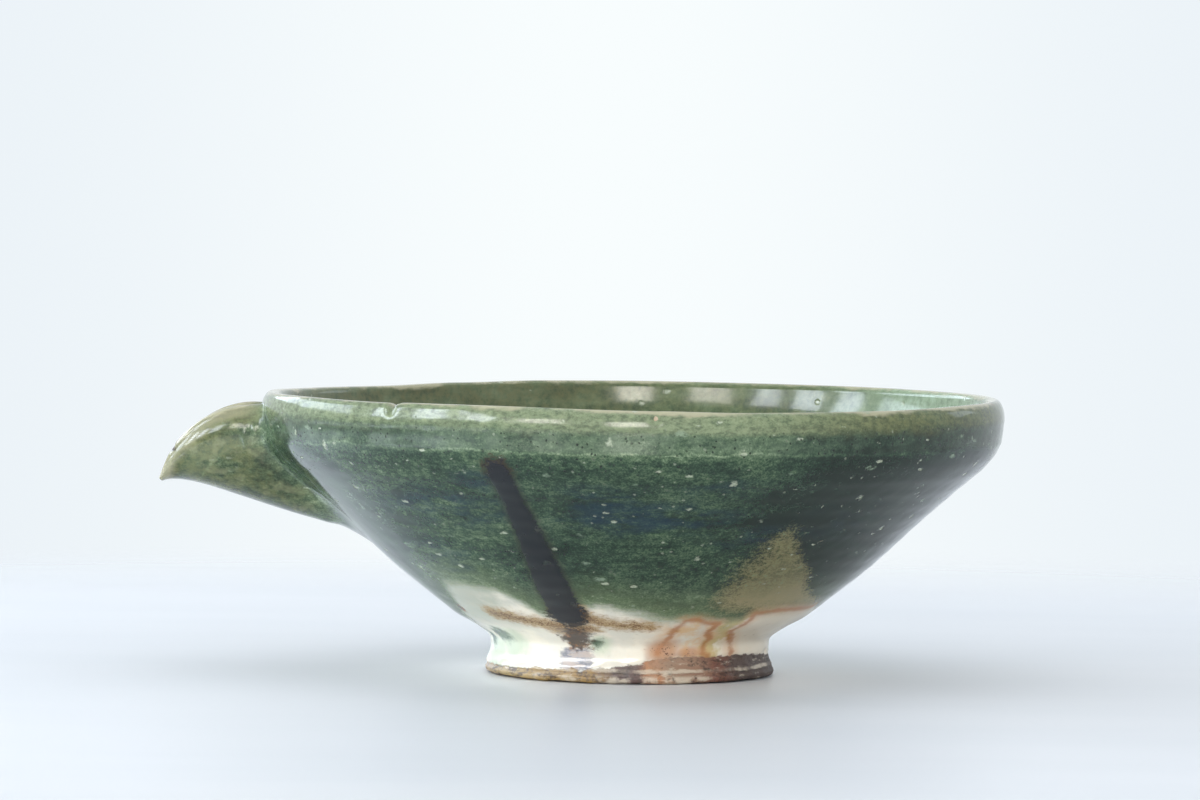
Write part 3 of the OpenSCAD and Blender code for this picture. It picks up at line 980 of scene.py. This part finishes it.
def bare_clay(m):
    """Toasted clay that changes colour round the foot, with a pale ridge and pale chips."""
    tone = m.colours(m.total(0.5, (m.ragged(m.bearing, mid=26.0), 1 / 360)), BARE_ROUND)
    streak = m.noise(5, 5, 0.7, scale=(1, 1, 4))
    tone = m.paint(tone, BARE_PALE, streak, 0.55, 0.68, 0.7)
    tone = m.paint(tone, BARE_DARK, m.total(0.0, (m.fine, 0.6), (m.mid, 0.4)), 0.52, 0.38, 0.85)
    level = m.times(m.parts()["Z"], 1 / MM)
    ridge = m.math("ABSOLUTE", m.total(level, (streak, 1.6, 2.1)))
    tone = m.blend(m.times(m.ramp(ridge, 0.5, 0.1), m.ramp(m.mid, 0.42, 0.6, 0.1, 0.7)), tone, BARE_PALE)
    low = m.times(m.ramp(level, 1.9, 1.2), m.zone(m.bearing, -40, 36, 8))
    return m.blend(m.times(low, m.ramp(m.mid, 0.46, 0.58, 0, 0.7)), tone, BARE_PALE)


def outside_material(name):
    m = Outside(name)
    colour = lip_layer(m, haze_layer(m, green_layer(m)))
    colour = cream_layer(m, tan_layer(m, colour))
    colour = iron_layer(m, drip_layer(m, stain_layer(m, colour)))
    bare_field = m.field("bare")
    glazed = m.ramp(bare_field, 0.2, -0.4)
    colour, pale, dots = pit_layer(m, colour, m.times(m.ramp(m.edge, -0.5, 2.5), glazed))
    specks = m.pits(17, 0.35, 0.01, 0.05, (1.0, 0.6, 1.0))
    colour = m.blend(m.times(specks, glazed), colour, RED_SPECK)
    bare = m.ramp(m.ragged(bare_field, mid=1.6, fine=1.2), -0.15, 0.2)
    colour = m.blend(bare, colour, bare_clay(m))
    cream_roughness = m.ramp(m.edge, 2.4, -2.2, GLAZE_ROUGHNESS, 0.2)
    roughness = m.most(m.ramp(bare, 0, 1, GLAZE_ROUGHNESS, 0.6), cream_roughness)
    height = m.total(0.0, (m.noise(4, 1), 0.16), (pale, -0.55), (dots, -0.5), (m.times(m.fine, bare), 1.4))
    return m.surface(colour, roughness, height, GLAZE_BUMP, IOR=GLAZE_IOR)


def inside_material(name):
    m = Material(name)
    m.streak = m.noise(12, 4, 0.6, scale=(0.8, 0.8, 3))
    m.mid = m.noise(5, 4, 0.6)
    m.fine = m.noise(1.5, 5, 0.7)
    rim = m.ragged(m.field("below_rim"), streak=3.0, mid=2.0)
    tone = m.ragged(0.46, streak=0.9, mid=0.7, fine=0.8)
    tone = m.total(tone, (m.ramp(rim, 12, 3), 0.2), (m.ramp(rim, 34, 43), -0.32))
    colour = m.colours(tone, GREENS)
    bearing = m.turn()
    left = m.zone(bearing, -178, -95, 15)
    olive = m.times(m.ramp(rim, 13, 3), m.ramp(m.fine, 0.3, 0.7, 0.3, 0.75))
    colour = m.blend(m.times(olive, m.ramp(left, 0, 1, 0.7, 1)), colour, m.blend(left, OLIVE, OLIVE_BROWN))
    # Paler green high on the far right of the inner wall: partly thin glaze, partly a painted sheen of the
    # bright light from the left.
    thin = m.times(m.ramp(rim, 17, 5), m.zone(bearing, 96, 136, 14))
    colour = m.blend(m.times(thin, m.ramp(m.fine, 0.25, 0.75, 0.4, 0.95)), colour, THIN_GREEN_AND_SHEEN)
    # Pale tan on the inner edge of the lip: thin glaze, lightened as a painted sheen.
    colour = m.paint(colour, RIM_TAN_AND_SHEEN, rim, 0.9, 0.1, 0.75)
    pits = m.pits(5.5, 0.6, 0.03, 0.14, (1.1, 0.9, 1.2))
    colour = m.blend(m.times(pits, 0.75), colour, PIT_CREAM)
    height = m.total(0.0, (m.noise(6, 1), 0.12), (pits, -0.55))
    return m.surface(colour, GLAZE_ROUGHNESS, height, GLAZE_BUMP, IOR=GLAZE_IOR)


def clay_material(name):
    m = Material(name)
    mid = m.noise(5, 5, 0.6)
    fine = m.noise(0.8, 4, 0.7)
    colour = m.paint(CLAY, BARE_PALE, mid, 0.35, 0.65)
    colour = m.paint(colour, BARE_DARK, fine, 0.6, 0.75, 0.5)
    return m.surface(colour, 0.78, m.total(0.0, (mid, 1.0), (fine, 0.5)), 0.3)


# The glazed skin from the foot over the lip to the middle of the floor
def skin_piece(name, outline, relief, material, side_r=None, pole=False):
    """A coat of glaze over an outline, open at the pouring hole where the coat's radius is given."""
    normals = side_normals(outline)
    base, turn, z = turned(outline, COLUMNS)
    height = relief(turn, z, base)
    keep = None
    if side_r:
        keep, base = pierced(base, side_r)
    front = formed(raised(base, turn, normals, height), turn, z)
    back = formed(raised(base, turn, normals, np.minimum(UNDER - SKIN, height - UNDER)), turn, z)
    return shell(name, material, front, back, outside_fields(base, turn, z), keep, pole)


def outer_point(z):
    return np.array([[outer_r(z), z]])


def above(side, z):
    return side[side[:, 1] > z]


low_side = above(OUTER_SIDE, COAT_LOW_Z)
low_side = low_side[low_side[:, 1] < GREEN_Z]
foot_outline = even(np.vstack([outer_point(COAT_LOW_Z), low_side, outer_point(GREEN_Z)]), FOOT_ROW_STEP)
wall_outline = even(np.vstack([outer_point(GREEN_Z), above(OUTER_SIDE, GREEN_Z)]), ROW_STEP)
inner_outline = even(inner_side(SKIN), INNER_ROW_STEP)


def wall_relief(turn, z, points):
    return outer_relief(turn, z, points) + lip_facet(turn, z, points) + nicks(turn, z)


def inner_r(z):
    """Radius of the glazed inside at a height."""
    return radius_at(z, inner_outline[::-1])


# Spout: lines run along it from root to tip, numbered round its U-shaped section
SPOUT_REACH = 20.4
SPOUT_TIP = np.array([CLAY_R + SPOUT_REACH, RIM_Z - 18.5])
CREST_START = np.array([CLAY_R - LIP, RIM_Z - 4.2])
KEEL_START = wall_point(RIM_Z - 28.2, -0.2 * WALL)
CREST = (CREST_START, CREST_START + SPOUT_REACH * np.array([0.62, 0.105]),
         SPOUT_TIP + SPOUT_REACH * np.array([-0.172, 0.385]), SPOUT_TIP)
KEEL = (KEEL_START, KEEL_START + SPOUT_REACH * np.array([0.97, 0.1]),
        SPOUT_TIP + SPOUT_REACH * np.array([-0.33, 0.145]), SPOUT_TIP)
SPOUT_HALF = 14.5
TIP_HALF = 2.2
SPOUT_WALL = 3.4
SIDE_CURL = math.radians(130)
CURL_HIGH = 0.22
CURL_WIDE = 0.58
LIP_CROWN = 0.3
SPOUT_END = 0.97
BEND_OUT = ((0, 7), (20, 7), (45, 2.4), (75, 2.2), (100, 1.3))
BEND_IN = ((0, 7), (20, 7.5), (50, 10), (75, 9), (95, 5), (106, 4), (122, 1.3))
SIDE_LINES = 48
EDGE_LINES = 11
SKIRT_RINGS = 12
SPOUT_RINGS = 64
TIP_RINGS = 5
TIP_LEAN = 84
TIP_ROUND = 0.55
CLAY_RINGS = 24
CLAY_SHORT = 0.015
PROBE = 0.01
SKIRT_SUNK = 0.07
SKIRT_HANDLE = 0.62
EDGE_BEND = 1.5
SKIRT_BLEND = 8
CAVITY_BELOW = 10.0
THIN_WALL = 0.55


def spout_lines():
    """For each line: its angle from the keel, its share across the wall, and its share of the lip's crown."""
    sweep = np.linspace(-SIDE_CURL, SIDE_CURL, 2 * SIDE_LINES + 1)
    over = np.pi * np.arange(1, EDGE_LINES + 1) / (EDGE_LINES + 1)
    angle = np.concatenate([sweep, 0 * over + SIDE_CURL, sweep[::-1], 0 * over - SIDE_CURL])
    share = np.concatenate([0 * sweep, (1 - np.cos(over)) / 2, 0 * sweep + 1, (1 + np.cos(over)) / 2])
    crown = np.concatenate([0 * sweep, np.sin(over), 0 * sweep, np.sin(over)])
    return angle, share, crown


def spout_section(angle):
    """A line's share of the spout's half width and of its depth: a U whose top edges curl inwards."""
    a = np.abs(angle)
    curled = a > np.pi / 2
    over = np.cos(a) / math.cos(SIDE_CURL)
    lift = np.where(curled, 1 - CURL_HIGH + CURL_HIGH * over, (1 - CURL_HIGH) * (1 - np.cos(a)))
    wide = np.where(curled, 1 - CURL_WIDE * (1 - np.sin(a)), np.sin(a))
    return np.sign(angle) * wide, lift


def spout_place(lines, t, coat):
    """Points on the lines at t from root to tip, and how far each lies below the spout's edge."""
    angle, share, crown = lines
    low, top = bezier(KEEL, t), bezier(CREST, t)
    depth = np.linalg.norm(top - low, axis=-1)
    up = (top - low) / depth[..., None]
    wall = np.minimum(SPOUT_WALL, THIN_WALL * depth)
    half = TIP_HALF + (SPOUT_HALF - TIP_HALF) * (1 - t ** 1.8) ** 0.8
    wide, lift = spout_section(angle)
    outer = (depth + 2 * coat) * lift - coat
    inner = (depth - wall) * lift + wall + coat
    along = outer * (1 - share) + inner * share + crown * LIP_CROWN * wall
    across = ((half + coat) * (1 - share) + (half - wall - coat) * share) * wide
    side = low + up * along[..., None]
    return np.stack([-side[..., 0], across, side[..., 1]], -1), depth + coat + LIP_CROWN * wall - along


def spout_point(lines, t, coat):
    return spout_place(lines, t, coat)[0]


def spout_roots(lines, coat, cover=0.0):
    """Where each line comes out of the bowl's skin, found by halving."""
    inside, outside = np.zeros(len(lines[0])), np.full(len(lines[0]), 0.7)
    for _ in range(30):
        mid = (inside + outside) / 2
        p = spout_point(lines, mid, coat)
        out = np.hypot(p[:, 0], p[:, 1]) > outer_r(p[:, 2]) + cover
        inside, outside = np.where(out, inside, mid), np.where(out, mid, outside)
    return outside


def turn_of(points):
    return np.degrees(np.arctan2(points[..., 0], -points[..., 1]))


def bowl_normal(points):
    """The outward way off the glazed outside at points on it."""
    z = points[..., 2]
    rise = (outer_r(z + 0.2) - outer_r(z - 0.2)) / 0.4
    return unit(np.concatenate([unit(points[..., :2]), -rise[..., None]], -1))


def root_skirt(lines, coat):
    """Rings that carry the spout out of the bowl's skin in one smooth bend, and where the lines go on."""
    angle, share = lines[:2]
    start = spout_roots(lines, coat)
    root = spout_point(lines, start, coat)
    speed = np.linalg.norm(spout_point(lines, start + PROBE, coat) - root, axis=-1) / PROBE
    from_keel = np.degrees(np.abs(angle))
    bends = [np.where(share > 0.01, EDGE_BEND, knots(bend, from_keel)) for bend in (BEND_OUT, BEND_IN)]
    bend_out, bend_in = bends
    leave = start + bend_out / speed
    normal = bowl_normal(root)
    away = unit(np.cross(np.roll(root, -1, 0) - np.roll(root, 1, 0), normal))
    keel = int(np.argmin(np.abs(angle) + share))
    away = away * (-1 if away[keel, 2] > 0 else 1)
    foot = root + away * bend_in[:, None]
    foot = on_bowl(turn_of(foot), foot[:, 2])
    sunk = foot - SKIRT_SUNK * bowl_normal(foot)
    end = spout_point(lines, leave, coat)
    beyond = spout_point(lines, leave + PROBE, coat)
    handle_in = sunk + unit(root - foot) * bend_in[:, None] * SKIRT_HANDLE
    handle_out = end - unit(beyond - end) * bend_out[:, None] * SKIRT_HANDLE
    rings = [bezier((sunk, handle_in, handle_out, end), np.full(len(angle), s))
             for s in np.linspace(0, 1, SKIRT_RINGS, endpoint=False)]
    return np.array(rings), leave


def spout_coat_rings(lines, coat):
    """The spout's outer skin as rings from its root skirt to its rounded tip."""
    skirt, leave = root_skirt(lines, coat)
    rings, edges = list(skirt), [None] * len(skirt)
    for s in np.linspace(0, 1, SPOUT_RINGS):
        p, below = spout_place(lines, leave + (SPOUT_END - leave) * s, coat)
        rings.append(p)
        edges.append(below)
    last, below = rings[-1], edges[-1]
    halfway = (lines[0], 0 * lines[1] + 0.5, 0 * lines[2])
    middle = spout_point(halfway, np.full(len(below), SPOUT_END), coat)
    forward = unit(rings[-1] - rings[-2]).mean(0)
    for s in np.linspace(0, 1, TIP_RINGS + 1)[1:]:
        lean = math.radians(TIP_LEAN * s)
        rings.append(middle + (last - middle) * math.cos(lean) + forward * TIP_ROUND * math.sin(lean))
        edges.append(below)
    blend_over = len(skirt) + SKIRT_BLEND
    target = edges[blend_over]
    for i in range(blend_over):
        w = smooth(0, blend_over, i)
        edges[i] = (RIM_Z - rings[i][:, 2]) * (1 - w) + target * w
    return np.array(rings), np.array(edges)


def spout_cap(first, flip):
    """Faces across one ring of the spout, between its outside and its inside."""
    sides = 2 * SIDE_LINES + 1
    far = 2 * sides + EDGE_LINES - 1
    faces = [[first + i, first + i + 1, first + far - i - 1, first + far - i] for i in range(sides - 1)]
    faces.append([first + i for i in range(sides - 1, sides + EDGE_LINES + 1)])
    faces.append([first + far + i for i in range(EDGE_LINES + 1)] + [first])
    return [f[::-1] for f in faces] if flip else faces


def spout_clay_rings(lines, coat, cover):
    start = spout_roots(lines, coat, cover)
    end = SPOUT_END - CLAY_SHORT
    shares = np.linspace(0, 1, CLAY_RINGS)
    return np.array([spout_point(lines, start + (end - start) * s, coat) for s in shares])


def make_spout_coat(name, material):
    lines = spout_lines()
    count = len(lines[0])
    rings, below = spout_coat_rings(lines, SKIN)
    swell = 0.07 * noise(rings, 9, 61) + 0.015 * noise(rings, 2.8, 62)
    at = np.arange(len(rings))[:, None]
    swell = swell * smooth(2, SKIRT_RINGS + 4, at) * smooth(len(rings), len(rings) - 8, at)
    luted = 0.22 * noise(rings, 3.6, 63) * hump(at, SKIRT_RINGS - 2, 4)
    rings = rings + ring_normals(rings) * (swell + luted + spout_nick(rings) + root_lumps(rings))[..., None]
    cavity = spout_clay_rings(lines, UNDER, 0.0)
    points = listed(rings, cavity)
    on_skirt = smooth(7, 1, at)[..., None]
    skin_normals = unit(bowl_normal(rings) * on_skirt + ring_normals(rings) * (1 - on_skirt))
    normals = listed(skin_normals, -ring_normals(cavity))
    turn, z = turn_of(points), points[:, 2].copy()
    fields = outside_fields(points, turn, z)
    first = len(rings) * count
    fields["below_rim"] = np.append(below.ravel(), np.full(len(cavity) * count, CAVITY_BELOW))
    olive = smooth(3, SKIRT_RINGS + 10, at) + 0 * below
    fields["olive"] = np.append(olive.ravel(), np.ones(len(cavity) * count))
    fields["tip"] = smooth(6, 0, points[:, 0] + SPOUT_TIP[0])
    faces = loop_faces(len(rings), count, 0, True) + spout_cap(first - count, True)
    faces += loop_faces(len(cavity), count, first) + spout_cap(len(points) - count, False)
    for i in range(count):
        j = (i + 1) % count
        faces.append([i, j, first + j, first + i])
    return make_object(name, material, formed(points, turn, z), faces, normals, fields)


def ring_normals(rings):
    """The outward way at each point of the spout's rings."""
    round_way = np.roll(rings, -1, 1) - np.roll(rings, 1, 1)
    return unit(np.cross(np.gradient(rings, axis=0), round_way))


def spout_nick(points):
    """A small crack in the front edge of the spout near its tip."""
    return -SPOUT_NICK_DEEP * spot(np.linalg.norm((points - SPOUT_NICK) / SPOUT_NICK_HALF, axis=-1))


def root_lumps(points):
    """Small upright lumps of clay where the spout was luted on."""
    total = 0
    for x, z, high, proud in ROOT_LUMPS:
        total = total + proud * spot((points[..., 0] - x) / LUMP_HALF, (points[..., 2] - z) / high)
    return total * (points[..., 1] < -4)


def make_spout_body(name, material):
    lines = spout_lines()
    count = len(lines[0])
    rings = spout_clay_rings(lines, 0.0, -SKIN)
    points = listed(rings)
    faces = loop_faces(len(rings), count, 0, True) + spout_cap(0, False)
    faces += spout_cap(len(points) - count, True)
    return make_object(name, material, formed(points, turn_of(points), points[:, 2]), faces)


# Iron stroke
STROKE_ROWS = 170
STROKE_COLUMNS = 29
STROKE_PROUD = 0.16
STROKE_LOW = 0.06
STROKE_DEEP = 0.2


def make_stroke(name, material):
    """A thin raised bar of pigment that sinks into the glaze at its edges."""
    v = np.linspace(0, 1, STROKE_ROWS)[:, None]
    u = np.linspace(-1, 1, STROKE_COLUMNS)[None, :]
    z = STROKE_LOW_Z + (STROKE_TOP_Z - STROKE_LOW_Z) * v + 0 * u
    middle = on_bowl(stroke_turn(z), z)
    ragged = 0.35 * noise(middle + np.array([9.0, 0, 0]) * np.sign(u)[..., None], 2.5, 71)
    ends = np.sqrt(np.clip(1 - (np.maximum(0, np.abs(2 * v - 1) - 0.88) / 0.12) ** 2, 0.02, 1))
    half = (knots(STROKE_HALF, z) + 0.25 + ragged) * ends
    turn = stroke_turn(z) + np.degrees(u * half / outer_r(z))
    base = on_bowl(turn, z)
    normal = bowl_normal(base)
    height = outer_relief(turn, z, base)
    bulge = STROKE_PROUD * (1 - np.abs(u) ** 3) * smooth(0, 0.03, v) * smooth(1, 0.97, v) - STROKE_LOW
    front = base + normal * (height + bulge)[..., None]
    back = base + normal * (height - STROKE_DEEP)[..., None]
    rows, columns = z.shape
    count = rows * columns
    index = np.arange(count).reshape(rows, columns)
    quads = np.stack([index[:-1, :-1], index[:-1, 1:], index[1:, 1:], index[1:, :-1]], -1).reshape(-1, 4)
    faces = quads.tolist() + (quads[:, ::-1] + count).tolist()
    rim = np.concatenate([index[0], index[1:, -1], index[-1, -2::-1], index[-2:0:-1, 0]]).tolist()
    for p, q in zip(rim, rim[1:] + rim[:1]):
        faces.append([q, p, p + count, q + count])
    points = listed(formed(front, turn, z), formed(back, turn, z))
    return make_object(name, material, points, faces, None, doubled(outside_fields(base, turn, z)))


# Clay under the coats
HOLLOW_R = NECK_R - 4
CLAY_COLUMNS = 360
CLAY_ROW_STEP = 0.9
RING_ROW_STEP = 0.3
DRILL_X = (-90.0, -40.0)
HOLE_LINES = 72
SLEEVE_SHARES = (0, 0.05, 0.12, 0.25, 0.5, 0.75, 0.88, 0.95, 1, 0.9, 0.5, 0.1)
SLEEVE_FRONT = 9
SLEEVE_CLEAR = 0.01


def cut_hole(obj):
    """Drill the pouring hole through the clay, with no line of the drill on a column of the clay's mesh."""
    angle = np.linspace(0, 2 * np.pi, HOLE_LINES, endpoint=False) + np.pi / HOLE_LINES
    y, z = HOLE_R * np.cos(angle), HOLE_Z + HOLE_R * np.sin(angle)
    points = np.vstack([np.stack([0 * angle + x, y, z], 1) for x in DRILL_X])
    ends = np.arange(2 * HOLE_LINES).reshape(2, HOLE_LINES)
    faces = loop_faces(2, HOLE_LINES) + [ends[0, ::-1].tolist(), ends[1].tolist()]
    drill = make_object("drill", None, points, faces)
    cut = obj.modifiers.new("pouring_hole", "BOOLEAN")
    cut.operation = "DIFFERENCE"
    cut.solver = "EXACT"
    cut.object = drill
    shaped = bpy.data.meshes.new_from_object(obj.evaluated_get(bpy.context.evaluated_depsgraph_get()))
    obj.modifiers.clear()
    obj.data = shaped
    bpy.data.objects.remove(drill)


def make_bowl_body(name, material):
    outline = np.vstack([[[0.8, FOOT_H], [HOLLOW_R, FOOT_H]], above(CLAY_SIDE, FOOT_H), inner_side(0)])
    obj = turned_solid(name, even(outline, CLAY_ROW_STEP), CLAY_COLUMNS, base_relief)
    cut_hole(obj)
    obj.data.materials.append(material)
    return obj


def make_foot_ring(name, material):
    inner = FOOT_R - FOOT_EDGE - FOOT_FACE
    top = [inner - FOOT_LEAN, FOOT_H]
    bottom = [[inner, 0.5], [inner + 0.5, 0], [FOOT_R - FOOT_EDGE, 0], [FOOT_R - 0.3, 0.35]]
    side = CLAY_SIDE[CLAY_SIDE[:, 1] < FOOT_H]
    outline = np.vstack([[top], bottom, [[FOOT_R, FOOT_EDGE]], side, [top]])
    outline = even(outline, RING_ROW_STEP)[:-1]
    normals = side_normals(np.vstack([outline[-1:], outline, outline[:1]]))[1:-1]
    base, turn, z = turned(outline, COLUMNS)
    points = raised(base, turn, normals, foot_relief(z, base))
    fields = foot_fields(base, turn, z)
    return make_object(name, material, listed(points), ring_faces(*turn.shape), None, fields)


def ring_faces(rows, columns):
    """Faces of a ring whose section is closed on itself too."""
    return (np.array(loop_faces(rows + 1, columns)) % (rows * columns)).tolist()


def make_sleeve(name, material):
    """The thin glaze through the pouring hole, from the inner coat to the outer one."""
    share = np.array(SLEEVE_SHARES)[:, None]
    angle = np.linspace(0, 2 * np.pi, HOLE_LINES, endpoint=False)[None, :]
    ends = np.abs(2 * share - 1) ** 6
    in_front = np.arange(len(share))[:, None] < SLEEVE_FRONT
    radius = np.where(in_front, HOLE_R - SKIN * (1 - ends), HOLE_R - SLEEVE_CLEAR)
    y, z = radius * np.cos(angle), HOLE_Z + radius * np.sin(angle)
    start, end = np.sqrt(inner_r(z) ** 2 - y ** 2), np.sqrt(outer_r(z) ** 2 - y ** 2)
    points = np.stack([-start - (end - start) * share, y, z], -1)
    points = listed(formed(points, turn_of(points), z))
    return make_object(name, material, points, ring_faces(*z.shape), None, {"below_rim": RIM_Z - z})


def foot_fields(points, turn, z):
    """The outside's fields, with the ring's bottom and inner faces bare."""
    fields = outside_fields(points, turn, z)
    r = np.hypot(points[..., 0], points[..., 1])
    fields["bare"] = np.where(r < NECK_R - 0.5, 3.0, fields["bare"])
    return fields


outside = outside_material("green_and_cream_glaze")
inside = inside_material("inner_green_glaze")
clay = clay_material("stoneware")

PIECES = (
    (make_bowl_body("bowl_body", clay), "bowl", "stoneware"),
    (make_foot_ring("foot_ring_body", outside), "foot_ring", "bare_stoneware"),
    (make_spout_body("spout_body", clay), "spout", "stoneware"),
    (skin_piece("outer_glaze_coat", wall_outline, wall_relief, outside, outer_r), "outer_glaze",
     "green_glaze"),
    (skin_piece("inner_glaze_coat", inner_outline, inner_relief, inside, inner_r, True), "inner_glaze",
     "green_glaze"),
    (make_spout_coat("spout_coat", outside), "spout_glaze", "olive_glaze"),
    (skin_piece("foot_glaze_coat", foot_outline, coat_relief, outside), "foot_glaze", "cream_glaze"),
    (make_stroke("iron_stroke_coat", outside), "iron_stroke", "iron_pigment"),
    (make_sleeve("hole_glaze_sleeve", inside), None, "green_glaze"))
for piece, node, slot in PIECES:
    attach(piece, "root")
    if node:
        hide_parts(node)

# Camera at the photograph's place
CAMERA_AT = Vector((-6.6, -1200, 102.5)) * MM
LOOK_AT = Vector((-6.6, 0, 54.6)) * MM
ROLL_DEG = 0.74
LENS_MM = 180
SENSOR_MM = 36
FAR_CLIP = 20


def aimed(obj, place, target):
    """Put a camera or a lamp at a place, looking at a target."""
    way = (Vector(target) - Vector(place)).to_track_quat("-Z", "Y").to_matrix().to_4x4()
    obj.matrix_world = Matrix.Translation(Vector(place)) @ way
    return obj


camera_data = bpy.data.cameras.new("camera")
camera_data.lens = LENS_MM
camera_data.sensor_width = SENSOR_MM
camera_data.sensor_fit = "HORIZONTAL"
camera_data.clip_end = FAR_CLIP
camera = aimed(placed("camera", camera_data), CAMERA_AT, LOOK_AT)
camera.matrix_world = camera.matrix_world @ Matrix.Rotation(math.radians(ROLL_DEG), 4, "Z")
bpy.context.scene.camera = camera

# Floor, light and background, in metres
BACKDROP = "#f8fdfe"
BACKDROP_SIDE = "#ecf3f8"
BACKDROP_GLOW = 0.11
FLOOR_COLOUR = "#dcdfe3"
FLOOR_GRAIN = "#d0d5da"
FLOOR_HALF = 3.0
FLOOR_NEAR = -2.0
FLOOR_FAR = 6.0
FADE_START = 0.2
FADE_END = 0.4
WORLD_COLOUR = "#eef4fa"
WORLD_LIGHT = 0.84


def pale_rays(m):
    """1 for rays that should see the pale backdrop: the camera's, and those in gloss or through glass."""
    path = m.add("LightPath").outputs
    return m.most(path["Is Camera Ray"], path["Is Glossy Ray"], path["Is Transmission Ray"])


def floor_material():
    """A pale table near the object, which fades into the backdrop further off for the camera."""
    m = Material("pale_table")
    grain = m.noise(60, 4, 0.55, scale=(0.25, 1, 1))
    colour = m.paint(FLOOR_COLOUR, FLOOR_GRAIN, grain, 0.3, 0.7, 0.35)
    table = m.add("BsdfPrincipled", {"Base Color": colour, "Roughness": 0.38})
    clear = m.add("BsdfTransparent")
    away = m.add("VectorMath", {0: m.place}, operation="LENGTH").outputs["Value"]
    seen = m.times(m.ramp(away, FADE_START, FADE_END), pale_rays(m))
    mix = m.add("MixShader", {0: seen, 1: table.outputs[0], 2: clear.outputs[0]})
    m.add("OutputMaterial", {"Surface": mix.outputs[0]})
    return m.material


def make_floor():
    mesh = bpy.data.meshes.new("table")
    corners = [(-FLOOR_HALF, FLOOR_NEAR, 0), (FLOOR_HALF, FLOOR_NEAR, 0),
               (FLOOR_HALF, FLOOR_FAR, 0), (-FLOOR_HALF, FLOOR_FAR, 0)]
    mesh.from_pydata(corners, [], [(0, 1, 2, 3)])
    obj = placed("table", mesh)
    mesh.materials.append(floor_material())


def make_world():
    """A backdrop that is brightest straight behind the object, and soft light from all round."""
    world = bpy.data.worlds.new("studio")
    bpy.context.scene.world = world
    world.use_nodes = True
    m = Nodes(world.node_tree)
    way = m.add("SeparateXYZ", {0: m.add("TexCoord").outputs["Generated"]}).outputs
    colour = m.paint(BACKDROP, BACKDROP_SIDE, m.math("ABSOLUTE", way["X"]), 0, BACKDROP_GLOW)
    backdrop = m.add("Background", {"Color": colour})
    light = m.add("Background", {"Color": WORLD_COLOUR, "Strength": WORLD_LIGHT})
    mix = m.add("MixShader", {0: pale_rays(m), 1: light.outputs[0], 2: backdrop.outputs[0]})
    m.add("OutputWorld", {0: mix.outputs[0]})


def make_lamp(name, place, target, width, height, watts, colour, matt=True, gloss=True):
    data = bpy.data.lights.new(name, "AREA")
    data.shape = "RECTANGLE"
    data.size = width
    data.size_y = height
    data.energy = watts
    data.color = linear(colour)[:3]
    obj = aimed(placed(name, data), place, target)
    obj.visible_diffuse = matt
    obj.visible_glossy = gloss


# Soft lamps: name, place, width, height, power and whether they are seen in gloss
SOFT_LAMPS = (("overhead", (0, 0.1, 1.6), 1.6, 1.4, 4, True),
              ("fill", (1.4, -0.6, 0.8), 1.2, 0.8, 3.5, False))
SOFT_TARGET = (0, 0, 0.03)
# A row of windows to the front and left: bearing from the front towards +X, width, power and colour
WINDOWS = ((-1, 0.32, 2.4, "#fff7ee"), (-28, 0.4, 2.7, "#fff8f0"), (-49, 0.26, 2.2, "#f0f6ff"),
           (-65, 0.28, 2.7, "#eaf3ff"), (-82, 0.28, 2.7, "#e6f1ff"), (-112, 0.8, 4.6, "#e2efff"),
           (-142, 0.8, 3.4, "#e2efff"), (126, 0.4, 0.5, "#e2efff"))
# Each window's second lamp is seen only in gloss, and is this many times as strong
SHINE = 8.5
WINDOW_AWAY = 1.6
WINDOW_RISE = math.radians(18)
WINDOW_HIGH = 0.36
make_floor()
make_world()
for name, place, width, height, watts, gloss in SOFT_LAMPS:
    make_lamp(name, place, SOFT_TARGET, width, height, watts, "#ffffff", gloss=gloss)
for number, (bearing, width, watts, colour) in enumerate(WINDOWS):
    out = WINDOW_AWAY * math.cos(WINDOW_RISE)
    place = (out * math.sin(math.radians(bearing)), -out * math.cos(math.radians(bearing)),
             RIM_Z * MM + WINDOW_AWAY * math.sin(WINDOW_RISE))
    target = (0, 0, RIM_Z * MM)
    for kind, power, matt in (("window", watts, True), ("shine", SHINE * watts, False)):
        make_lamp("%s_%d" % (kind, number), place, target, width, WINDOW_HIGH, power, colour, matt)
bpy.context.scene.view_settings.view_transform = "Standard"
